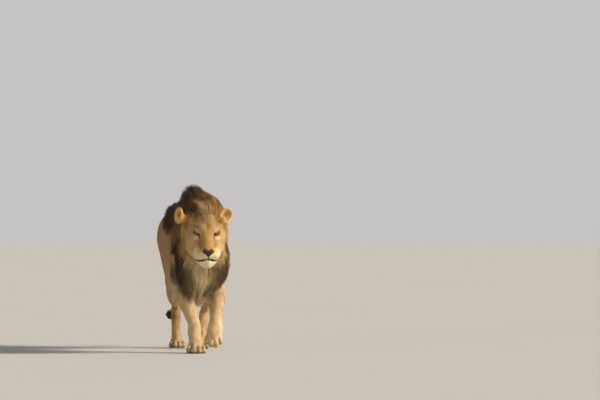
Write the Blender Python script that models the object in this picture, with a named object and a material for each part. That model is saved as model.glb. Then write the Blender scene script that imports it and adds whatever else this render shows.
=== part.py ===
"""An adult male lion in mid stride, life size, as a still museum model.

The body is shaped from named masses (skull, muzzle, ribs, thighs, mane) that
blend into each other, drawn as one closed surface out to the tips of the
coat, and then parted with thin cuts into the pieces a person would name.
Eyes and ears are modelled on their own and set into the head.
"""
import bpy
import bmesh
import numpy as np
from math import radians, sin, cos, sqrt, pi
from mathutils import Matrix, Vector

# ---------------------------------------------------------------- building
CELL = 0.010            # spacing of the surface points before they are thinned
EAR_CELL = 0.006
GAP = 0.0003            # clearance left by every cut
BODY_FACES = 5200       # triangles kept on the whole body
EAR_FACES = 220         # triangles kept on an ear
FLOOR_EDGE = 1e-5

# ---------------------------------------------------------------- measures
# The animal faces -Y, its left side is +X, the ground is z = 0.  Metres.
EYE_MID = (0.0, -1.000, 0.835)      # point midway between the two eyes
HEAD_PITCH = 25.0                   # the face looks this far below level, degrees
EYE_HALF = 0.0725                   # half the distance between the eyes
EYE_R = 0.0195                      # radius of an eyeball
EYE_BACK = 0.006                    # the eyeball's centre lies this far behind the eye plane
WITHERS_Z = 1.030
FLANK_HALF = 0.214                  # half the width of the trunk
CREST_TOP = 1.165                   # top of the standing mane
COAT = 0.008                        # depth of the short coat

# ---------------------------------------------------------------- fields
HP = radians(HEAD_PITCH)
E0 = np.array(EYE_MID)
AX = np.array((1.0, 0.0, 0.0))
AF = np.array((0.0, -cos(HP), -sin(HP)))
AU = np.array((0.0, -sin(HP), cos(HP)))
HEAD_AXES = np.stack((AX, AF, AU), axis=1)     # columns: side, forward, up


def hd(a, f, u):
    """A point of the head from its side, forward and up offsets."""
    return E0 + a * AX + f * AF + u * AU


def to_head(p):
    return (p - E0) @ HEAD_AXES


def smin(a, b, k):
    if k <= 0:
        return np.minimum(a, b)
    h = np.maximum(k - np.abs(a - b), 0.0) / k
    return np.minimum(a, b) - h * h * k * 0.25


def smax(a, b, k):
    return -smin(-a, -b, k)


def axes_of(direction, side=(1.0, 0.0, 0.0)):
    """Three unit axes: across, along the direction, and square to both."""
    y = np.array(direction, float)
    y /= np.linalg.norm(y)
    x = np.array(side, float)
    x -= y * np.dot(x, y)
    x /= np.linalg.norm(x)
    z = np.cross(x, y)
    return np.stack((x, y, z), axis=1)


class Form:
    """Rounded masses joined by a smooth minimum, as a distance to the surface."""

    def __init__(self):
        self.items = []

    def _add(self, fn, lo, hi, k, mode):
        self.items.append((fn, np.array(lo, float), np.array(hi, float), k, mode))

    def ball(self, c, r, axes=None, k=0.03, mode="add"):
        c = np.array(c, float)
        r = np.array(r, float)
        m = np.eye(3) if axes is None else axes
        ext = np.sqrt(((m * r) ** 2).sum(axis=1))

        def fn(p):
            q = (p - c) @ m
            k0 = np.sqrt(((q / r) ** 2).sum(axis=1)) + 1e-9
            k1 = np.sqrt(((q / (r * r)) ** 2).sum(axis=1)) + 1e-9
            return k0 * (k0 - 1.0) / k1

        self._add(fn, c - ext, c + ext, k, mode)

    def cone(self, a, b, ra, rb, k=0.03, side=(1.0, 0.0, 0.0), wide=1.0, mode="add"):
        """A rod from a to b; wide scales it along side."""
        a = np.array(a, float)
        b = np.array(b, float)
        s = np.array(side, float)
        d = b - a
        dn = d / (np.linalg.norm(d) + 1e-12)
        s = s - dn * np.dot(s, dn)
        s /= np.linalg.norm(s) + 1e-12
        l2 = float(np.dot(d, d))
        g = 1.0 / (wide * wide) - 1.0
        rm = max(ra, rb) * max(1.0, wide)

        def fn(p):
            q = p - a
            t = np.clip(q @ d / l2, 0.0, 1.0)
            q = q - t[:, None] * d
            e = q @ s
            r = ra + (rb - ra) * t
            dist = np.sqrt(np.maximum((q * q).sum(axis=1) + g * e * e, 0.0))
            return (dist - r) * min(1.0, wide)

        self._add(fn, np.minimum(a, b) - rm, np.maximum(a, b) + rm, k, mode)

    def limb(self, pts, k=0.02, side=(1.0, 0.0, 0.0), wide=1.0):
        for (a, ra), (b, rb) in zip(pts[:-1], pts[1:]):
            self.cone(a, b, ra, rb, k, side, wide)

    def barrel(self, rows, k=0.03, power=2.15):
        """A trunk through rows of y, top, bottom, half width, height of the widest line."""
        rows = np.array(rows, float)
        ys = rows[:, 0]
        yy = np.linspace(ys[0], ys[-1], 300)
        tab = np.stack([smooth_line(ys, rows[:, i], yy) for i in range(1, 5)], axis=1)
        lo = (-rows[:, 3].max(), ys[0], rows[:, 2].min())
        hi = (rows[:, 3].max(), ys[-1], rows[:, 1].max())
        n = power

        def fn(p):
            y = np.clip(p[:, 1], ys[0], ys[-1])
            top = np.interp(y, yy, tab[:, 0])
            bot = np.interp(y, yy, tab[:, 1])
            w = np.interp(y, yy, tab[:, 2])
            mid = bot + (top - bot) * np.interp(y, yy, tab[:, 3])
            x = np.abs(p[:, 0]) + 1e-6
            z = p[:, 2] - mid
            h = np.where(z > 0, top - mid, mid - bot)
            z = np.abs(z) + 1e-6
            k0 = ((x / w) ** n + (z / h) ** n) ** (1.0 / n)
            gx = k0 ** (1 - n) * x ** (n - 1) / w ** n
            gz = k0 ** (1 - n) * z ** (n - 1) / h ** n
            d = np.maximum((k0 - 1.0) / np.sqrt(gx * gx + gz * gz), -0.2)
            dy = np.abs(p[:, 1] - y)
            return np.where(dy > 0, np.sqrt(np.maximum(d, 0) ** 2 + dy ** 2), d)

        self._add(fn, lo, hi, k, "add")

    def __call__(self, p, pad=0.06):
        d = np.full(len(p), 1.0)
        order = np.argsort(p[:, 1], kind="stable")
        for part in np.array_split(order, max(1, len(p) // 3000)):
            if len(part) == 0:
                continue
            c = p[part]
            x, y, z = (np.ascontiguousarray(c[:, i]) for i in range(3))
            low, top = c.min(axis=0), c.max(axis=0)
            g = np.full(len(part), 1.0)
            for fn, lo, hi, k, mode in self.items:
                e = pad + max(k, 0)
                a, b = lo - e, hi + e
                if (a > top).any() or (b < low).any():
                    continue
                m = np.nonzero((x > a[0]) & (x < b[0]) & (y > a[1]) & (y < b[1]) & (z > a[2]) & (z < b[2]))[0]
                if len(m) == 0:
                    continue
                q = fn(c[m])
                g[m] = smin(g[m], q, k) if mode == "add" else smax(g[m], -q, k)
            d[part] = g
        return d


def smooth_line(xs, vs, x):
    """A smooth curve through the given stations."""
    xs = np.asarray(xs, float)
    vs = np.asarray(vs, float)
    m = np.gradient(vs, xs)
    i = np.clip(np.searchsorted(xs, x) - 1, 0, len(xs) - 2)
    h = xs[i + 1] - xs[i]
    t = (x - xs[i]) / h
    return ((2 * t ** 3 - 3 * t ** 2 + 1) * vs[i] + (t ** 3 - 2 * t ** 2 + t) * h * m[i]
            + (-2 * t ** 3 + 3 * t ** 2) * vs[i + 1] + (t ** 3 - t ** 2) * h * m[i + 1])


# ---------------------------------------------------------------- the animal
# Joints of the legs: where each one is in this stride.
FORE = {
    "right": dict(s=-1, blade=(-0.085, -0.430, 0.960), shoulder=(-0.130, -0.655, 0.665),
                  elbow=(-0.126, -0.490, 0.490), wrist=(-0.036, -0.575, 0.160),
                  ball=(-0.037, -0.630, 0.043), heading=(0.00, -1.0, 0.0), lifted=False),
    "left": dict(s=1, blade=(0.085, -0.440, 0.945), shoulder=(0.120, -0.665, 0.655),
                 elbow=(0.127, -0.500, 0.490), wrist=(0.108, -0.592, 0.182),
                 ball=(0.094, -0.604, 0.134), heading=(-0.05, -0.34, -0.94), lifted=True),
}
HIND = {
    "right": dict(s=-1, hip=(-0.095, 0.430, 0.800), knee=(-0.094, 0.335, 0.490),
                  hock=(-0.046, 0.655, 0.265), ball=(-0.044, 0.580, 0.038),
                  heading=(-0.05, -1.0, 0.0)),
    "left": dict(s=1, hip=(0.098, 0.430, 0.800), knee=(0.150, 0.220, 0.500),
                 hock=(0.138, 0.425, 0.245), ball=(0.088, 0.270, 0.038),
                 heading=(-0.04, -1.0, 0.0)),
}
TAIL = ((0.0, 0.660, 0.900), (0.0, 0.745, 0.840), (0.004, 0.800, 0.720), (0.0, 0.830, 0.580),
        (-0.008, 0.850, 0.430), (-0.022, 0.885, 0.305), (-0.040, 0.945, 0.238))
MIDDLE = (-0.003, -0.036)          # where the middle of the animal lies, on the ground
TUFT_END = (-0.058, 1.055, 0.222)


def mix(a, b, t):
    return tuple(np.array(a, float) * (1 - t) + np.array(b, float) * t)


def off(a, dx=0.0, dy=0.0, dz=0.0):
    return (a[0] + dx, a[1] + dy, a[2] + dz)


def paw(F, ball, heading, hind=False, lifted=False, k=0.014):
    """A paw: the body over the pads, and four toes in a fan."""
    m = axes_of(heading, (1.0, 0.0, 0.0))          # across, forward, up
    up = m[:, 2] if m[2, 2] > 0 or lifted else -m[:, 2]
    if lifted and up[1] > 0:
        up = -up
    m = np.stack((m[:, 0], m[:, 1], up), axis=1)
    g = 0.86 if hind else 1.0
    w = 0.84 if lifted else 0.94
    b = np.array(ball, float)

    def at(x, y, z):
        return b + m @ np.array((x * g * w, y * g, z * g))

    F.ball(at(0, -0.010, 0.000), (0.052 * g * w, 0.062 * g, 0.040 * g), m, k=0.03)
    F.ball(at(0, -0.016, -0.030), (0.040 * g, 0.042 * g, 0.022 * g), m, k=0.012)
    for x, y, turn in ((-0.051, 0.028, 0.28), (-0.018, 0.052, 0.08),
                       (0.018, 0.052, -0.08), (0.051, 0.028, -0.28)):
        c, s_ = cos(turn), sin(turn)
        mm = m @ np.array(((c, -s_, 0), (s_, c, 0), (0, 0, 1.0)))
        F.ball(at(x, y, -0.016), (0.0205 * g, 0.037 * g, 0.031 * g), mm, k=k)
        F.ball(at(x * 1.04, y + 0.020, -0.026), (0.0175 * g, 0.020 * g, 0.022 * g), mm, k=k)


def head_flesh(F):
    m = HEAD_AXES
    F.ball(hd(0, -0.112, 0.000), (0.098, 0.122, 0.086), m, k=0.03)            # skull
    F.ball(hd(0, -0.050, 0.016), (0.080, 0.085, 0.046), m, k=0.03)            # forehead
    F.ball(hd(0, -0.120, 0.052), (0.060, 0.085, 0.044), m, k=0.03)            # crown
    F.cone(hd(0, -0.020, 0.006), hd(0, 0.142, -0.082), 0.038, 0.030, 0.028, AX, 1.30)   # bridge
    F.ball(hd(0, 0.070, -0.096), (0.068, 0.100, 0.054), m, k=0.03)            # muzzle
    F.ball(hd(0, -0.020, -0.150), (0.066, 0.125, 0.052), m, k=0.03)           # under the jaw
    F.ball(hd(0, 0.112, -0.170), (0.044, 0.044, 0.041), m, k=0.016)           # chin
    for s in (-1, 1):
        F.ball(hd(s * 0.082, -0.055, -0.045), (0.053, 0.082, 0.052), m, k=0.03)    # cheek bone
        F.ball(hd(s * 0.070, -0.065, -0.105), (0.056, 0.085, 0.078), m, k=0.03)    # jaw muscle
        F.cone(hd(s * 0.026, 0.095, -0.170), hd(s * 0.066, -0.060, -0.140), 0.030, 0.046, 0.025)
        F.cone(hd(s * 0.024, 0.108, -0.160), hd(s * 0.050, 0.030, -0.172), 0.026, 0.032, 0.016)
        F.cone(hd(s * 0.003, 0.137, -0.147), hd(s * 0.032, 0.122, -0.157), 0.0175, 0.0175, 0.012)  # lower lip
        F.cone(hd(s * 0.032, 0.122, -0.157), hd(s * 0.055, 0.066, -0.176), 0.0175, 0.0185, 0.012)
        F.cone(hd(s * 0.060, 0.030, -0.070), hd(s * 0.056, 0.060, -0.108), 0.036, 0.036, 0.03)   # cheek
        F.cone(hd(s * 0.052, 0.075, -0.120), hd(s * 0.064, 0.010, -0.125), 0.036, 0.040, 0.03)   # lip corner
        F.ball(hd(s * 0.043, 0.118, -0.104), (0.0440, 0.052, 0.0360), k=0.010)     # whisker pad
        F.cone(hd(s * 0.036, -0.008, 0.036), hd(s * 0.090, -0.046, 0.030), 0.018, 0.020, 0.034)  # brow
        F.cone(hd(s * 0.040, 0.018, -0.030), hd(s * 0.100, -0.020, -0.030), 0.018, 0.020, 0.020)
    F.ball(hd(0, 0.156, -0.067), (0.0415, 0.026, 0.0175), m, k=0.010)         # nose
    F.ball(hd(0, 0.165, -0.083), (0.020, 0.015, 0.016), m, k=0.010)
    for s in (-1, 1):
        F.ball(hd(s * 0.0735, 0.022, 0.000), (0.0255, 0.022, 0.0160), m, k=0.012, mode="cut")


def ear(F, s, k=0.01):
    """One ear: a rounded cup on a short root, opening forward and outward."""
    turn = radians(68.0 if s < 0 else 16.0) * s
    lean = radians(10.0)
    fw = cos(turn) * AF + sin(turn) * AX
    fw = cos(lean) * fw + sin(lean) * AU
    side = np.cross(fw, AU)
    side /= np.linalg.norm(side)
    if side[0] * s < 0:
        side = -side
    up = np.cross(side, fw)
    if up @ AU < 0:
        up = -up
    tip = sin(radians(25.0)) * (AX * s) + cos(radians(25.0)) * up       # leans outward
    tip = tip - fw * (tip @ fw)
    tip /= np.linalg.norm(tip)
    across = np.cross(tip, fw)
    m = np.stack((across, fw, tip), axis=1)
    c = hd(s * (0.180 if s < 0 else 0.143), -0.150, 0.066)
    F.ball(c, (0.048, 0.021, 0.058 if s < 0 else 0.056), m, k=0.0)
    F.cone(c - 0.012 * tip, hd(s * 0.095, -0.135, 0.030), 0.032, 0.042, 0.02)
    F.ball(c + 0.016 * fw + 0.006 * tip, (0.036, 0.021, 0.045), m, k=0.008, mode="cut")


def legs_flesh(F):
    for key, L in FORE.items():
        s = L["s"]
        bl, sh, el, wr, ba = (L[n] for n in ("blade", "shoulder", "elbow", "wrist", "ball"))
        F.cone(off(bl, s * 0.02), off(sh, s * 0.005), 0.060, 0.088, 0.05, (1, 0, 0), 0.75)   # blade
        F.cone(off(bl, s * 0.075, 0.09, -0.12), off(el, s * 0.012, 0.012, 0.045), 0.095, 0.066, 0.05, (1, 0, 0), 0.72)
        F.cone(sh, off(el, -s * 0.004, 0.0, 0.035), 0.084, 0.070, 0.04, (1, 0, 0), 0.90)     # upper arm
        F.cone(off(el, 0, 0.020, 0.010), mix(el, wr, 0.40), 0.058, 0.060, 0.03, (1, 0, 0), 0.92)
        F.cone(mix(el, wr, 0.25), off(wr, 0, 0, 0.03), 0.065, 0.041, 0.03, (1, 0, 0), 1.06)
        F.cone(off(wr, 0, 0, 0.03), off(wr, 0, -0.004, -0.015), 0.041, 0.044, 0.02, (1, 0, 0), 1.12)
        F.cone(wr, off(ba, 0, 0.006, 0.012), 0.043, 0.040, 0.02, (1, 0, 0), 1.18)
        F.ball(off(wr, -s * 0.030, 0.022, 0.004), (0.016, 0.018, 0.024), k=0.012)            # dew claw pad
        paw(F, ba, L["heading"], lifted=L["lifted"])
    for key, L in HIND.items():
        s = L["s"]
        hip, kn, ho, ba = (L[n] for n in ("hip", "knee", "hock", "ball"))
        F.cone(off(hip, s * 0.020, -0.010, -0.02), off(kn, -s * 0.004, 0.03, 0.04), 0.150, 0.096, 0.05, (1, 0, 0), 0.62)
        F.cone(off(hip, s * 0.010, 0.120, -0.06), mix(kn, ho, 0.30), 0.130, 0.078, 0.05, (1, 0, 0), 0.62)
        F.cone(off(kn, -s * 0.01, 0.01, 0.02), off(kn, -s * 0.03, -0.10, 0.13), 0.055, 0.035, 0.06, (1, 0, 0), 0.60)   # flank fold
        F.cone(kn, mix(kn, ho, 0.55), 0.074, 0.058, 0.03, (1, 0, 0), 0.84)
        F.cone(mix(kn, ho, 0.40), off(ho, 0, 0, 0.02), 0.064, 0.035, 0.03, (1, 0, 0), 0.80)
        F.cone(off(ho, 0, 0.018, 0.020), off(mix(ho, ba, 0.15), 0, 0.012, 0.0), 0.028, 0.032, 0.02, (1, 0, 0), 0.95)
        F.cone(ho, off(ba, 0, 0.014, 0.016), 0.037, 0.037, 0.02, (1, 0, 0), 1.05)
        paw(F, ba, L["heading"], hind=True)


TRUNK = (
    # y, top, bottom, half width, widest line as a share of the height
    (-0.700, 0.850, 0.600, 0.100, 0.50),
    (-0.600, 0.930, 0.510, 0.150, 0.50),
    (-0.480, 0.985, 0.470, 0.180, 0.52),
    (-0.360, 1.000, 0.462, 0.196, 0.54),
    (-0.200, 0.988, 0.464, 0.208, 0.56),
    (0.000, 0.978, 0.470, 0.209, 0.56),
    (0.160, 0.980, 0.490, 0.207, 0.56),
    (0.320, 0.988, 0.530, 0.190, 0.56),
    (0.460, 0.985, 0.590, 0.165, 0.55),
    (0.580, 0.955, 0.650, 0.128, 0.55),
    (0.670, 0.905, 0.720, 0.080, 0.55),
)


def body_flesh(F):
    F.barrel(TRUNK, k=0.05)
    F.cone((0, -0.50, 0.800), (0, -0.720, 0.845), 0.165, 0.130, 0.06, (1, 0, 0), 0.90)     # neck
    F.cone((0, -0.700, 0.850), hd(0, -0.150, -0.030), 0.130, 0.100, 0.05, (1, 0, 0), 0.98)
    F.cone((0, -0.600, 0.690), (0, -0.690, 0.700), 0.130, 0.100, 0.06, (1, 0, 0), 1.0)     # breast
    for s in (-1, 1):
        F.ball((s * 0.085, 0.470, 0.885), (0.085, 0.150, 0.090), k=0.05)                   # hip
        F.ball((s * 0.070, 0.630, 0.800), (0.060, 0.080, 0.110), k=0.05)                   # buttock
    ts = np.linspace(0.0, len(TAIL) - 1.0, 22)
    row = [smooth_line(range(len(TAIL)), [p[i] for p in TAIL], ts) for i in range(3)]
    rad = smooth_line(range(len(TAIL)), (0.052, 0.040, 0.030, 0.0245, 0.021, 0.019, 0.018), ts)
    F.limb([((x, y, z), r) for x, y, z, r in zip(*row, rad)], k=0.003)


def mane_mass(F):
    """The outer shape of the long hair."""
    m = HEAD_AXES
    F.ball((-0.048, -0.690, 0.988), (0.098, 0.185, 0.176), k=0.08)            # crest
    F.ball((0.036, -0.690, 0.972), (0.100, 0.170, 0.132), k=0.07)
    F.ball((-0.010, -0.640, 0.930), (0.172, 0.270, 0.150), k=0.06)
    F.ball((-0.015, -0.400, 0.930), (0.180, 0.260, 0.135), k=0.07)            # over the withers
    F.ball((-0.122, -0.340, 0.930), (0.108, 0.200, 0.116), k=0.05)            # cape over the shoulders
    F.ball((0.090, -0.360, 0.915), (0.105, 0.190, 0.105), k=0.05)
    F.ball((-0.012, -0.700, 0.760), (0.170, 0.200, 0.260), k=0.06)            # sides of the neck
    F.ball((-0.010, -0.540, 0.740), (0.184, 0.200, 0.240), k=0.06)            # shoulders
    F.ball((-0.008, -0.770, 0.590), (0.158, 0.140, 0.160), k=0.06)            # breast
    F.cone((-0.014, -0.790, 0.520), (-0.022, -0.768, 0.392), 0.102, 0.054, 0.05)
    for s in (-1, 1):
        F.ball((s * 0.100 - 0.005, -0.700, 0.615), (0.085, 0.112, 0.150), k=0.05)         # over the shoulder points
    F.ball(hd(-0.010, -0.170, 0.090), (0.108, 0.085, 0.072), m, k=0.05)       # forelock
    F.ball(hd(0, -0.050, -0.215), (0.082, 0.105, 0.075), m, k=0.05)           # throat
    for s in (-1, 1):
        F.ball(hd(s * 0.104, -0.105, -0.035), (0.062, 0.058, 0.120), m, k=0.03)   # cheek ruff
        F.ball(hd(s * 0.066, -0.075, -0.175), (0.070, 0.075, 0.080), m, k=0.05)
    for L in FORE.values():
        e = L["elbow"]
        F.cone(off(e, 0, 0.045, 0.02), off(e, 0, 0.052, -0.060), 0.034, 0.010, 0.03)      # elbow hair


def tuft_mass(F):
    a = np.array(TAIL[-1])
    b = np.array(TUFT_END)
    F.cone(TAIL[-2], a, 0.017, 0.026, 0.02)
    F.cone(a, mix(a, b, 0.45), 0.028, 0.032, 0.02)
    F.cone(mix(a, b, 0.45), b, 0.032, 0.008, 0.02)


def flesh_form():
    F = Form()
    body_flesh(F)
    legs_flesh(F)
    head_flesh(F)
    return F


def coat_form():
    F = flesh_form()
    mane_mass(F)
    tuft_mass(F)
    return F


def ear_form(s):
    F = Form()
    ear(F, s)
    return F


# ---------------------------------------------------------------- surface from a field
def tidy_signs(v):
    """Closes the corners where two cells would touch at an edge only."""
    eps = 1e-5
    for _ in range(12):
        n = 0
        i = v < 0
        for ax in ((0, 1), (0, 2), (1, 2)):
            s = [slice(None)] * 3
            t = [slice(None)] * 3
            u = [slice(None)] * 3
            w = [slice(None)] * 3
            for q, (lo, hi) in ((s, (0, 0)), (t, (1, 1)), (u, (0, 1)), (w, (1, 0))):
                q[ax[0]] = slice(1, None) if lo else slice(None, -1)
                q[ax[1]] = slice(1, None) if hi else slice(None, -1)
            s, t, u, w = tuple(s), tuple(t), tuple(u), tuple(w)
            a = i[s] & i[t] & ~i[u] & ~i[w]
            b = ~i[s] & ~i[t] & i[u] & i[w]
            n += int(a.sum() + b.sum())
            vu = v[u]
            vu[a] = -eps
            vs = v[s]
            vs[b] = -eps
            i = v < 0
        c = [v[x:x - 1 or None, y:y - 1 or None, z:z - 1 or None] < 0
             for x in (0, 1) for y in (0, 1) for z in (0, 1)]
        tot = sum(q.astype(np.int8) for q in c)
        for p in range(4):
            bad = (c[p] & c[7 - p] & (tot == 2)) | (~c[p] & ~c[7 - p] & (tot == 6))
            if bad.any():
                n += int(bad.sum())
                for d in ((0, 0, 0), (0, 0, 1), (0, 1, 0)):
                    vv = v[d[0]:d[0] - 1 or None, d[1]:d[1] - 1 or None, d[2]:d[2] - 1 or None]
                    vv[bad & (vv > 0)] = -eps
        if n == 0:
            break
    return v


def net(fn, lo, hi, h, project=3):
    """A closed quad surface at fn = 0, with cells of size h."""
    lo = np.array(lo, float)
    hi = np.array(hi, float)
    B = 4
    nb = np.ceil((hi - lo) / (h * B)).astype(int)
    cg = [lo[i] + (np.arange(nb[i]) + 0.5) * h * B for i in range(3)]
    cp = np.stack(np.meshgrid(*cg, indexing="ij"), axis=-1).reshape(-1, 3)
    cv = fn(cp)
    near = np.abs(cv) < h * B * 1.45
    shape = nb * B + 1
    full = np.repeat(np.repeat(np.repeat(cv.reshape(nb), B, 0), B, 1), B, 2)
    v = np.ones(shape)
    v[:-1, :-1, :-1] = np.where(full > 0, 1.0, -1.0)
    mark = np.zeros(shape, bool)
    nm = np.repeat(np.repeat(np.repeat(near.reshape(nb), B, 0), B, 1), B, 2)
    for x in (0, 1):
        for y in (0, 1):
            for z in (0, 1):
                mark[x:x - 1 or None, y:y - 1 or None, z:z - 1 or None] |= nm
    idx = np.nonzero(mark)
    pts = np.stack([lo[i] + idx[i] * h for i in range(3)], axis=1)
    v[idx] = fn(pts)
    v = tidy_signs(v)
    # one point in each cell that the surface crosses
    inside = v < 0
    s = np.zeros(np.array(v.shape) - 1, np.int8)
    for x in (0, 1):
        for y in (0, 1):
            for z in (0, 1):
                s += inside[x:x - 1 or None, y:y - 1 or None, z:z - 1 or None]
    cells = np.nonzero((s > 0) & (s < 8))
    num = -np.ones(s.shape, np.int64)
    num[cells] = np.arange(len(cells[0]))
    acc = np.zeros((len(cells[0]), 3))
    cnt = np.zeros(len(cells[0]))
    corner = [(x, y, z) for x in (0, 1) for y in (0, 1) for z in (0, 1)]
    val = {c: v[cells[0] + c[0], cells[1] + c[1], cells[2] + c[2]] for c in corner}
    for a in corner:
        for ax in range(3):
            if a[ax]:
                continue
            b = list(a)
            b[ax] = 1
            b = tuple(b)
            va, vb = val[a], val[b]
            m = (va < 0) != (vb < 0)
            t = np.where(m, va / np.where(m, va - vb, 1.0), 0.0)
            p = np.zeros((len(t), 3)) + np.array(a, float)
            p[:, ax] += t
            acc[m] += p[m]
            cnt[m] += 1
    verts = lo + (np.stack(cells, axis=1) + acc / cnt[:, None]) * h
    quads = []
    for ax in range(3):
        sl0 = [slice(1, -1)] * 3
        sl1 = [slice(1, -1)] * 3
        sl0[ax] = slice(0, -1)
        sl1[ax] = slice(1, None)
        a = inside[tuple(sl0)]
        b = inside[tuple(sl1)]
        for flip, m in ((False, a & ~b), (True, ~a & b)):
            i = np.nonzero(m)
            c = [q + (0 if k == ax else 1) for k, q in enumerate(i)]
            o = [k for k in range(3) if k != ax]

            def cell(d0, d1):
                q = list(c)
                q[o[0]] = q[o[0]] - d0
                q[o[1]] = q[o[1]] - d1
                return num[tuple(q)]
            f = np.stack((cell(1, 1), cell(0, 1), cell(0, 0), cell(1, 0)), axis=1)
            if (ax == 1) != flip:
                f = f[:, ::-1]
            quads.append(f)
    quads = np.concatenate(quads)
    for _ in range(project):
        verts = verts - step_to(fn, verts, h * 0.5)
    return verts, quads


def gradient(fn, p, e=0.001):
    g = np.empty_like(p)
    for i in range(3):
        d = np.zeros(3)
        d[i] = e
        g[:, i] = (fn(p + d) - fn(p - d)) / (2 * e)
    return g


def step_to(fn, p, most, e=0.0004):
    d = fn(p)
    g = np.stack([(fn(p + e * np.eye(3)[i]) - d) / e for i in range(3)], axis=1)
    g2 = (g * g).sum(axis=1) + 1e-6
    st = g * (d / g2)[:, None]
    ln = np.linalg.norm(st, axis=1) + 1e-12
    return st * np.minimum(1.0, most / ln)[:, None]


# ---------------------------------------------------------------- helpers in Blender
def clear_scene():
    for ob in list(bpy.data.objects):
        bpy.data.objects.remove(ob, do_unlink=True)
    for me in list(bpy.data.meshes):
        bpy.data.meshes.remove(me)


def add_object(name, mesh):
    ob = bpy.data.objects.new(name, mesh)
    bpy.context.scene.collection.objects.link(ob)
    return ob


def mesh_from(name, verts, faces):
    me = bpy.data.meshes.new(name)
    me.from_pydata(verts.tolist(), [], faces.tolist())
    me.validate()
    me.update()
    return me


def baked(ob):
    """The object's mesh with its modifiers applied."""
    dg = bpy.context.evaluated_depsgraph_get()
    dg.update()
    me = bpy.data.meshes.new_from_object(ob.evaluated_get(dg))
    return me


def drop(ob):
    bpy.data.objects.remove(ob, do_unlink=True)


def thinned(mesh, faces, keep=None):
    """Collapses edges until about that many triangles are left; keep weighs
    the vertices, 1 where detail stays and 0 where it may go."""
    ob = add_object("thin", mesh)
    mod = ob.modifiers.new("tri", "TRIANGULATE")
    mod.quad_method = "SHORTEST_DIAGONAL"
    n = 2 * len(mesh.polygons)
    mod = ob.modifiers.new("thin", "DECIMATE")
    mod.ratio = faces / n
    if keep is not None:
        g = ob.vertex_groups.new(name="keep")
        level = np.round(keep * 20).astype(int)
        for q in range(21):
            ids = np.nonzero(level == q)[0].tolist()
            if ids:
                g.add(ids, q / 20.0, "REPLACE")
        mod.vertex_group = "keep"
        mod.invert_vertex_group = True
        mod.vertex_group_factor = 1.0
    me = baked(ob)
    drop(ob)
    return me


def block(lo, hi, grow=0.0, head=False):
    """A cutting box, square to the ground or to the head."""
    me = bpy.data.meshes.new("cutter")
    bm = bmesh.new()
    bmesh.ops.create_cube(bm, size=1.0)
    for v in bm.verts:
        p = [(hi[i] + grow if v.co[i] > 0 else lo[i] - grow) for i in range(3)]
        v.co = Vector(hd(*p)) if head else Vector(p)
    bm.normal_update()
    if bm.calc_volume(signed=True) < 0:
        bmesh.ops.reverse_faces(bm, faces=bm.faces)
    bm.to_mesh(me)
    bm.free()
    ob = add_object("cutter", me)
    ob.hide_render = True
    ob.display_type = "WIRE"
    return ob


def boolean(mesh, cutter, operation):
    ob = add_object("work", mesh)
    mod = ob.modifiers.new("cut", "BOOLEAN")
    mod.operation = operation
    mod.solver = "EXACT"
    mod.object = cutter
    me = baked(ob)
    drop(ob)
    return me


def tidy(mesh):
    """Welds, drops empty faces, keeps the largest closed piece, faces outward."""
    bm = bmesh.new()
    bm.from_mesh(mesh)
    bmesh.ops.remove_doubles(bm, verts=bm.verts, dist=2e-5)
    bmesh.ops.triangulate(bm, faces=bm.faces)
    bmesh.ops.dissolve_degenerate(bm, edges=bm.edges, dist=2e-5)
    left = set(bm.faces)
    best, size = None, -1.0
    while left:
        seed = left.pop()
        part, todo = [seed], [seed]
        while todo:
            f = todo.pop()
            for e in f.edges:
                for g in e.link_faces:
                    if g in left:
                        left.discard(g)
                        part.append(g)
                        todo.append(g)
        area = sum(f.calc_area() for f in part)
        if area > size:
            best, size = set(part), area
    loose = [f for f in bm.faces if f not in best]
    if loose:
        bmesh.ops.delete(bm, geom=loose, context="FACES")
    bmesh.ops.delete(bm, geom=[v for v in bm.verts if not v.link_faces], context="VERTS")
    bmesh.ops.recalc_face_normals(bm, faces=bm.faces)
    bm.to_mesh(mesh)
    bm.free()
    mesh.update()
    return mesh


def part_off(mesh, lo, hi, head=False):
    """Splits a mesh with a box: the piece inside, and the rest less the gap."""
    a = block(lo, hi, 0.0, head)
    b = block(lo, hi, GAP, head)
    inside = tidy(boolean(mesh, a, "INTERSECT"))
    outside = tidy(boolean(mesh, b, "DIFFERENCE"))
    drop(a)
    drop(b)
    return inside, outside


def swollen(mesh, amount):
    """A copy pushed out along its normals."""
    me = mesh.copy()
    n = [v.normal.copy() for v in me.vertices]
    for v, q in zip(me.vertices, n):
        v.co += q * amount
    me.update()
    return me


def ball_mesh(radius, centre, segments=14, rings=9):
    me = bpy.data.meshes.new("ball")
    bm = bmesh.new()
    bmesh.ops.create_uvsphere(bm, u_segments=segments, v_segments=rings, radius=radius)
    bmesh.ops.rotate(bm, verts=bm.verts, cent=(0, 0, 0), matrix=Matrix.Rotation(radians(90 + HEAD_PITCH), 3, "X"))
    bmesh.ops.translate(bm, verts=bm.verts, vec=Vector(centre))
    bm.to_mesh(me)
    bm.free()
    return me


def flat_soles(mesh):
    """Cuts the soles level with the ground."""
    bm = bmesh.new()
    bm.from_mesh(mesh)
    geom = bm.verts[:] + bm.edges[:] + bm.faces[:]
    bmesh.ops.bisect_plane(bm, geom=geom, dist=FLOOR_EDGE, plane_co=(0, 0, 0), plane_no=(0, 0, 1),
                           clear_inner=True)
    edges = [e for e in bm.edges if e.is_boundary]
    bmesh.ops.holes_fill(bm, edges=edges, sides=0)
    bmesh.ops.triangulate(bm, faces=bm.faces)
    bmesh.ops.recalc_face_normals(bm, faces=bm.faces)
    bm.to_mesh(mesh)
    bm.free()
    mesh.update()
    return mesh


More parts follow.
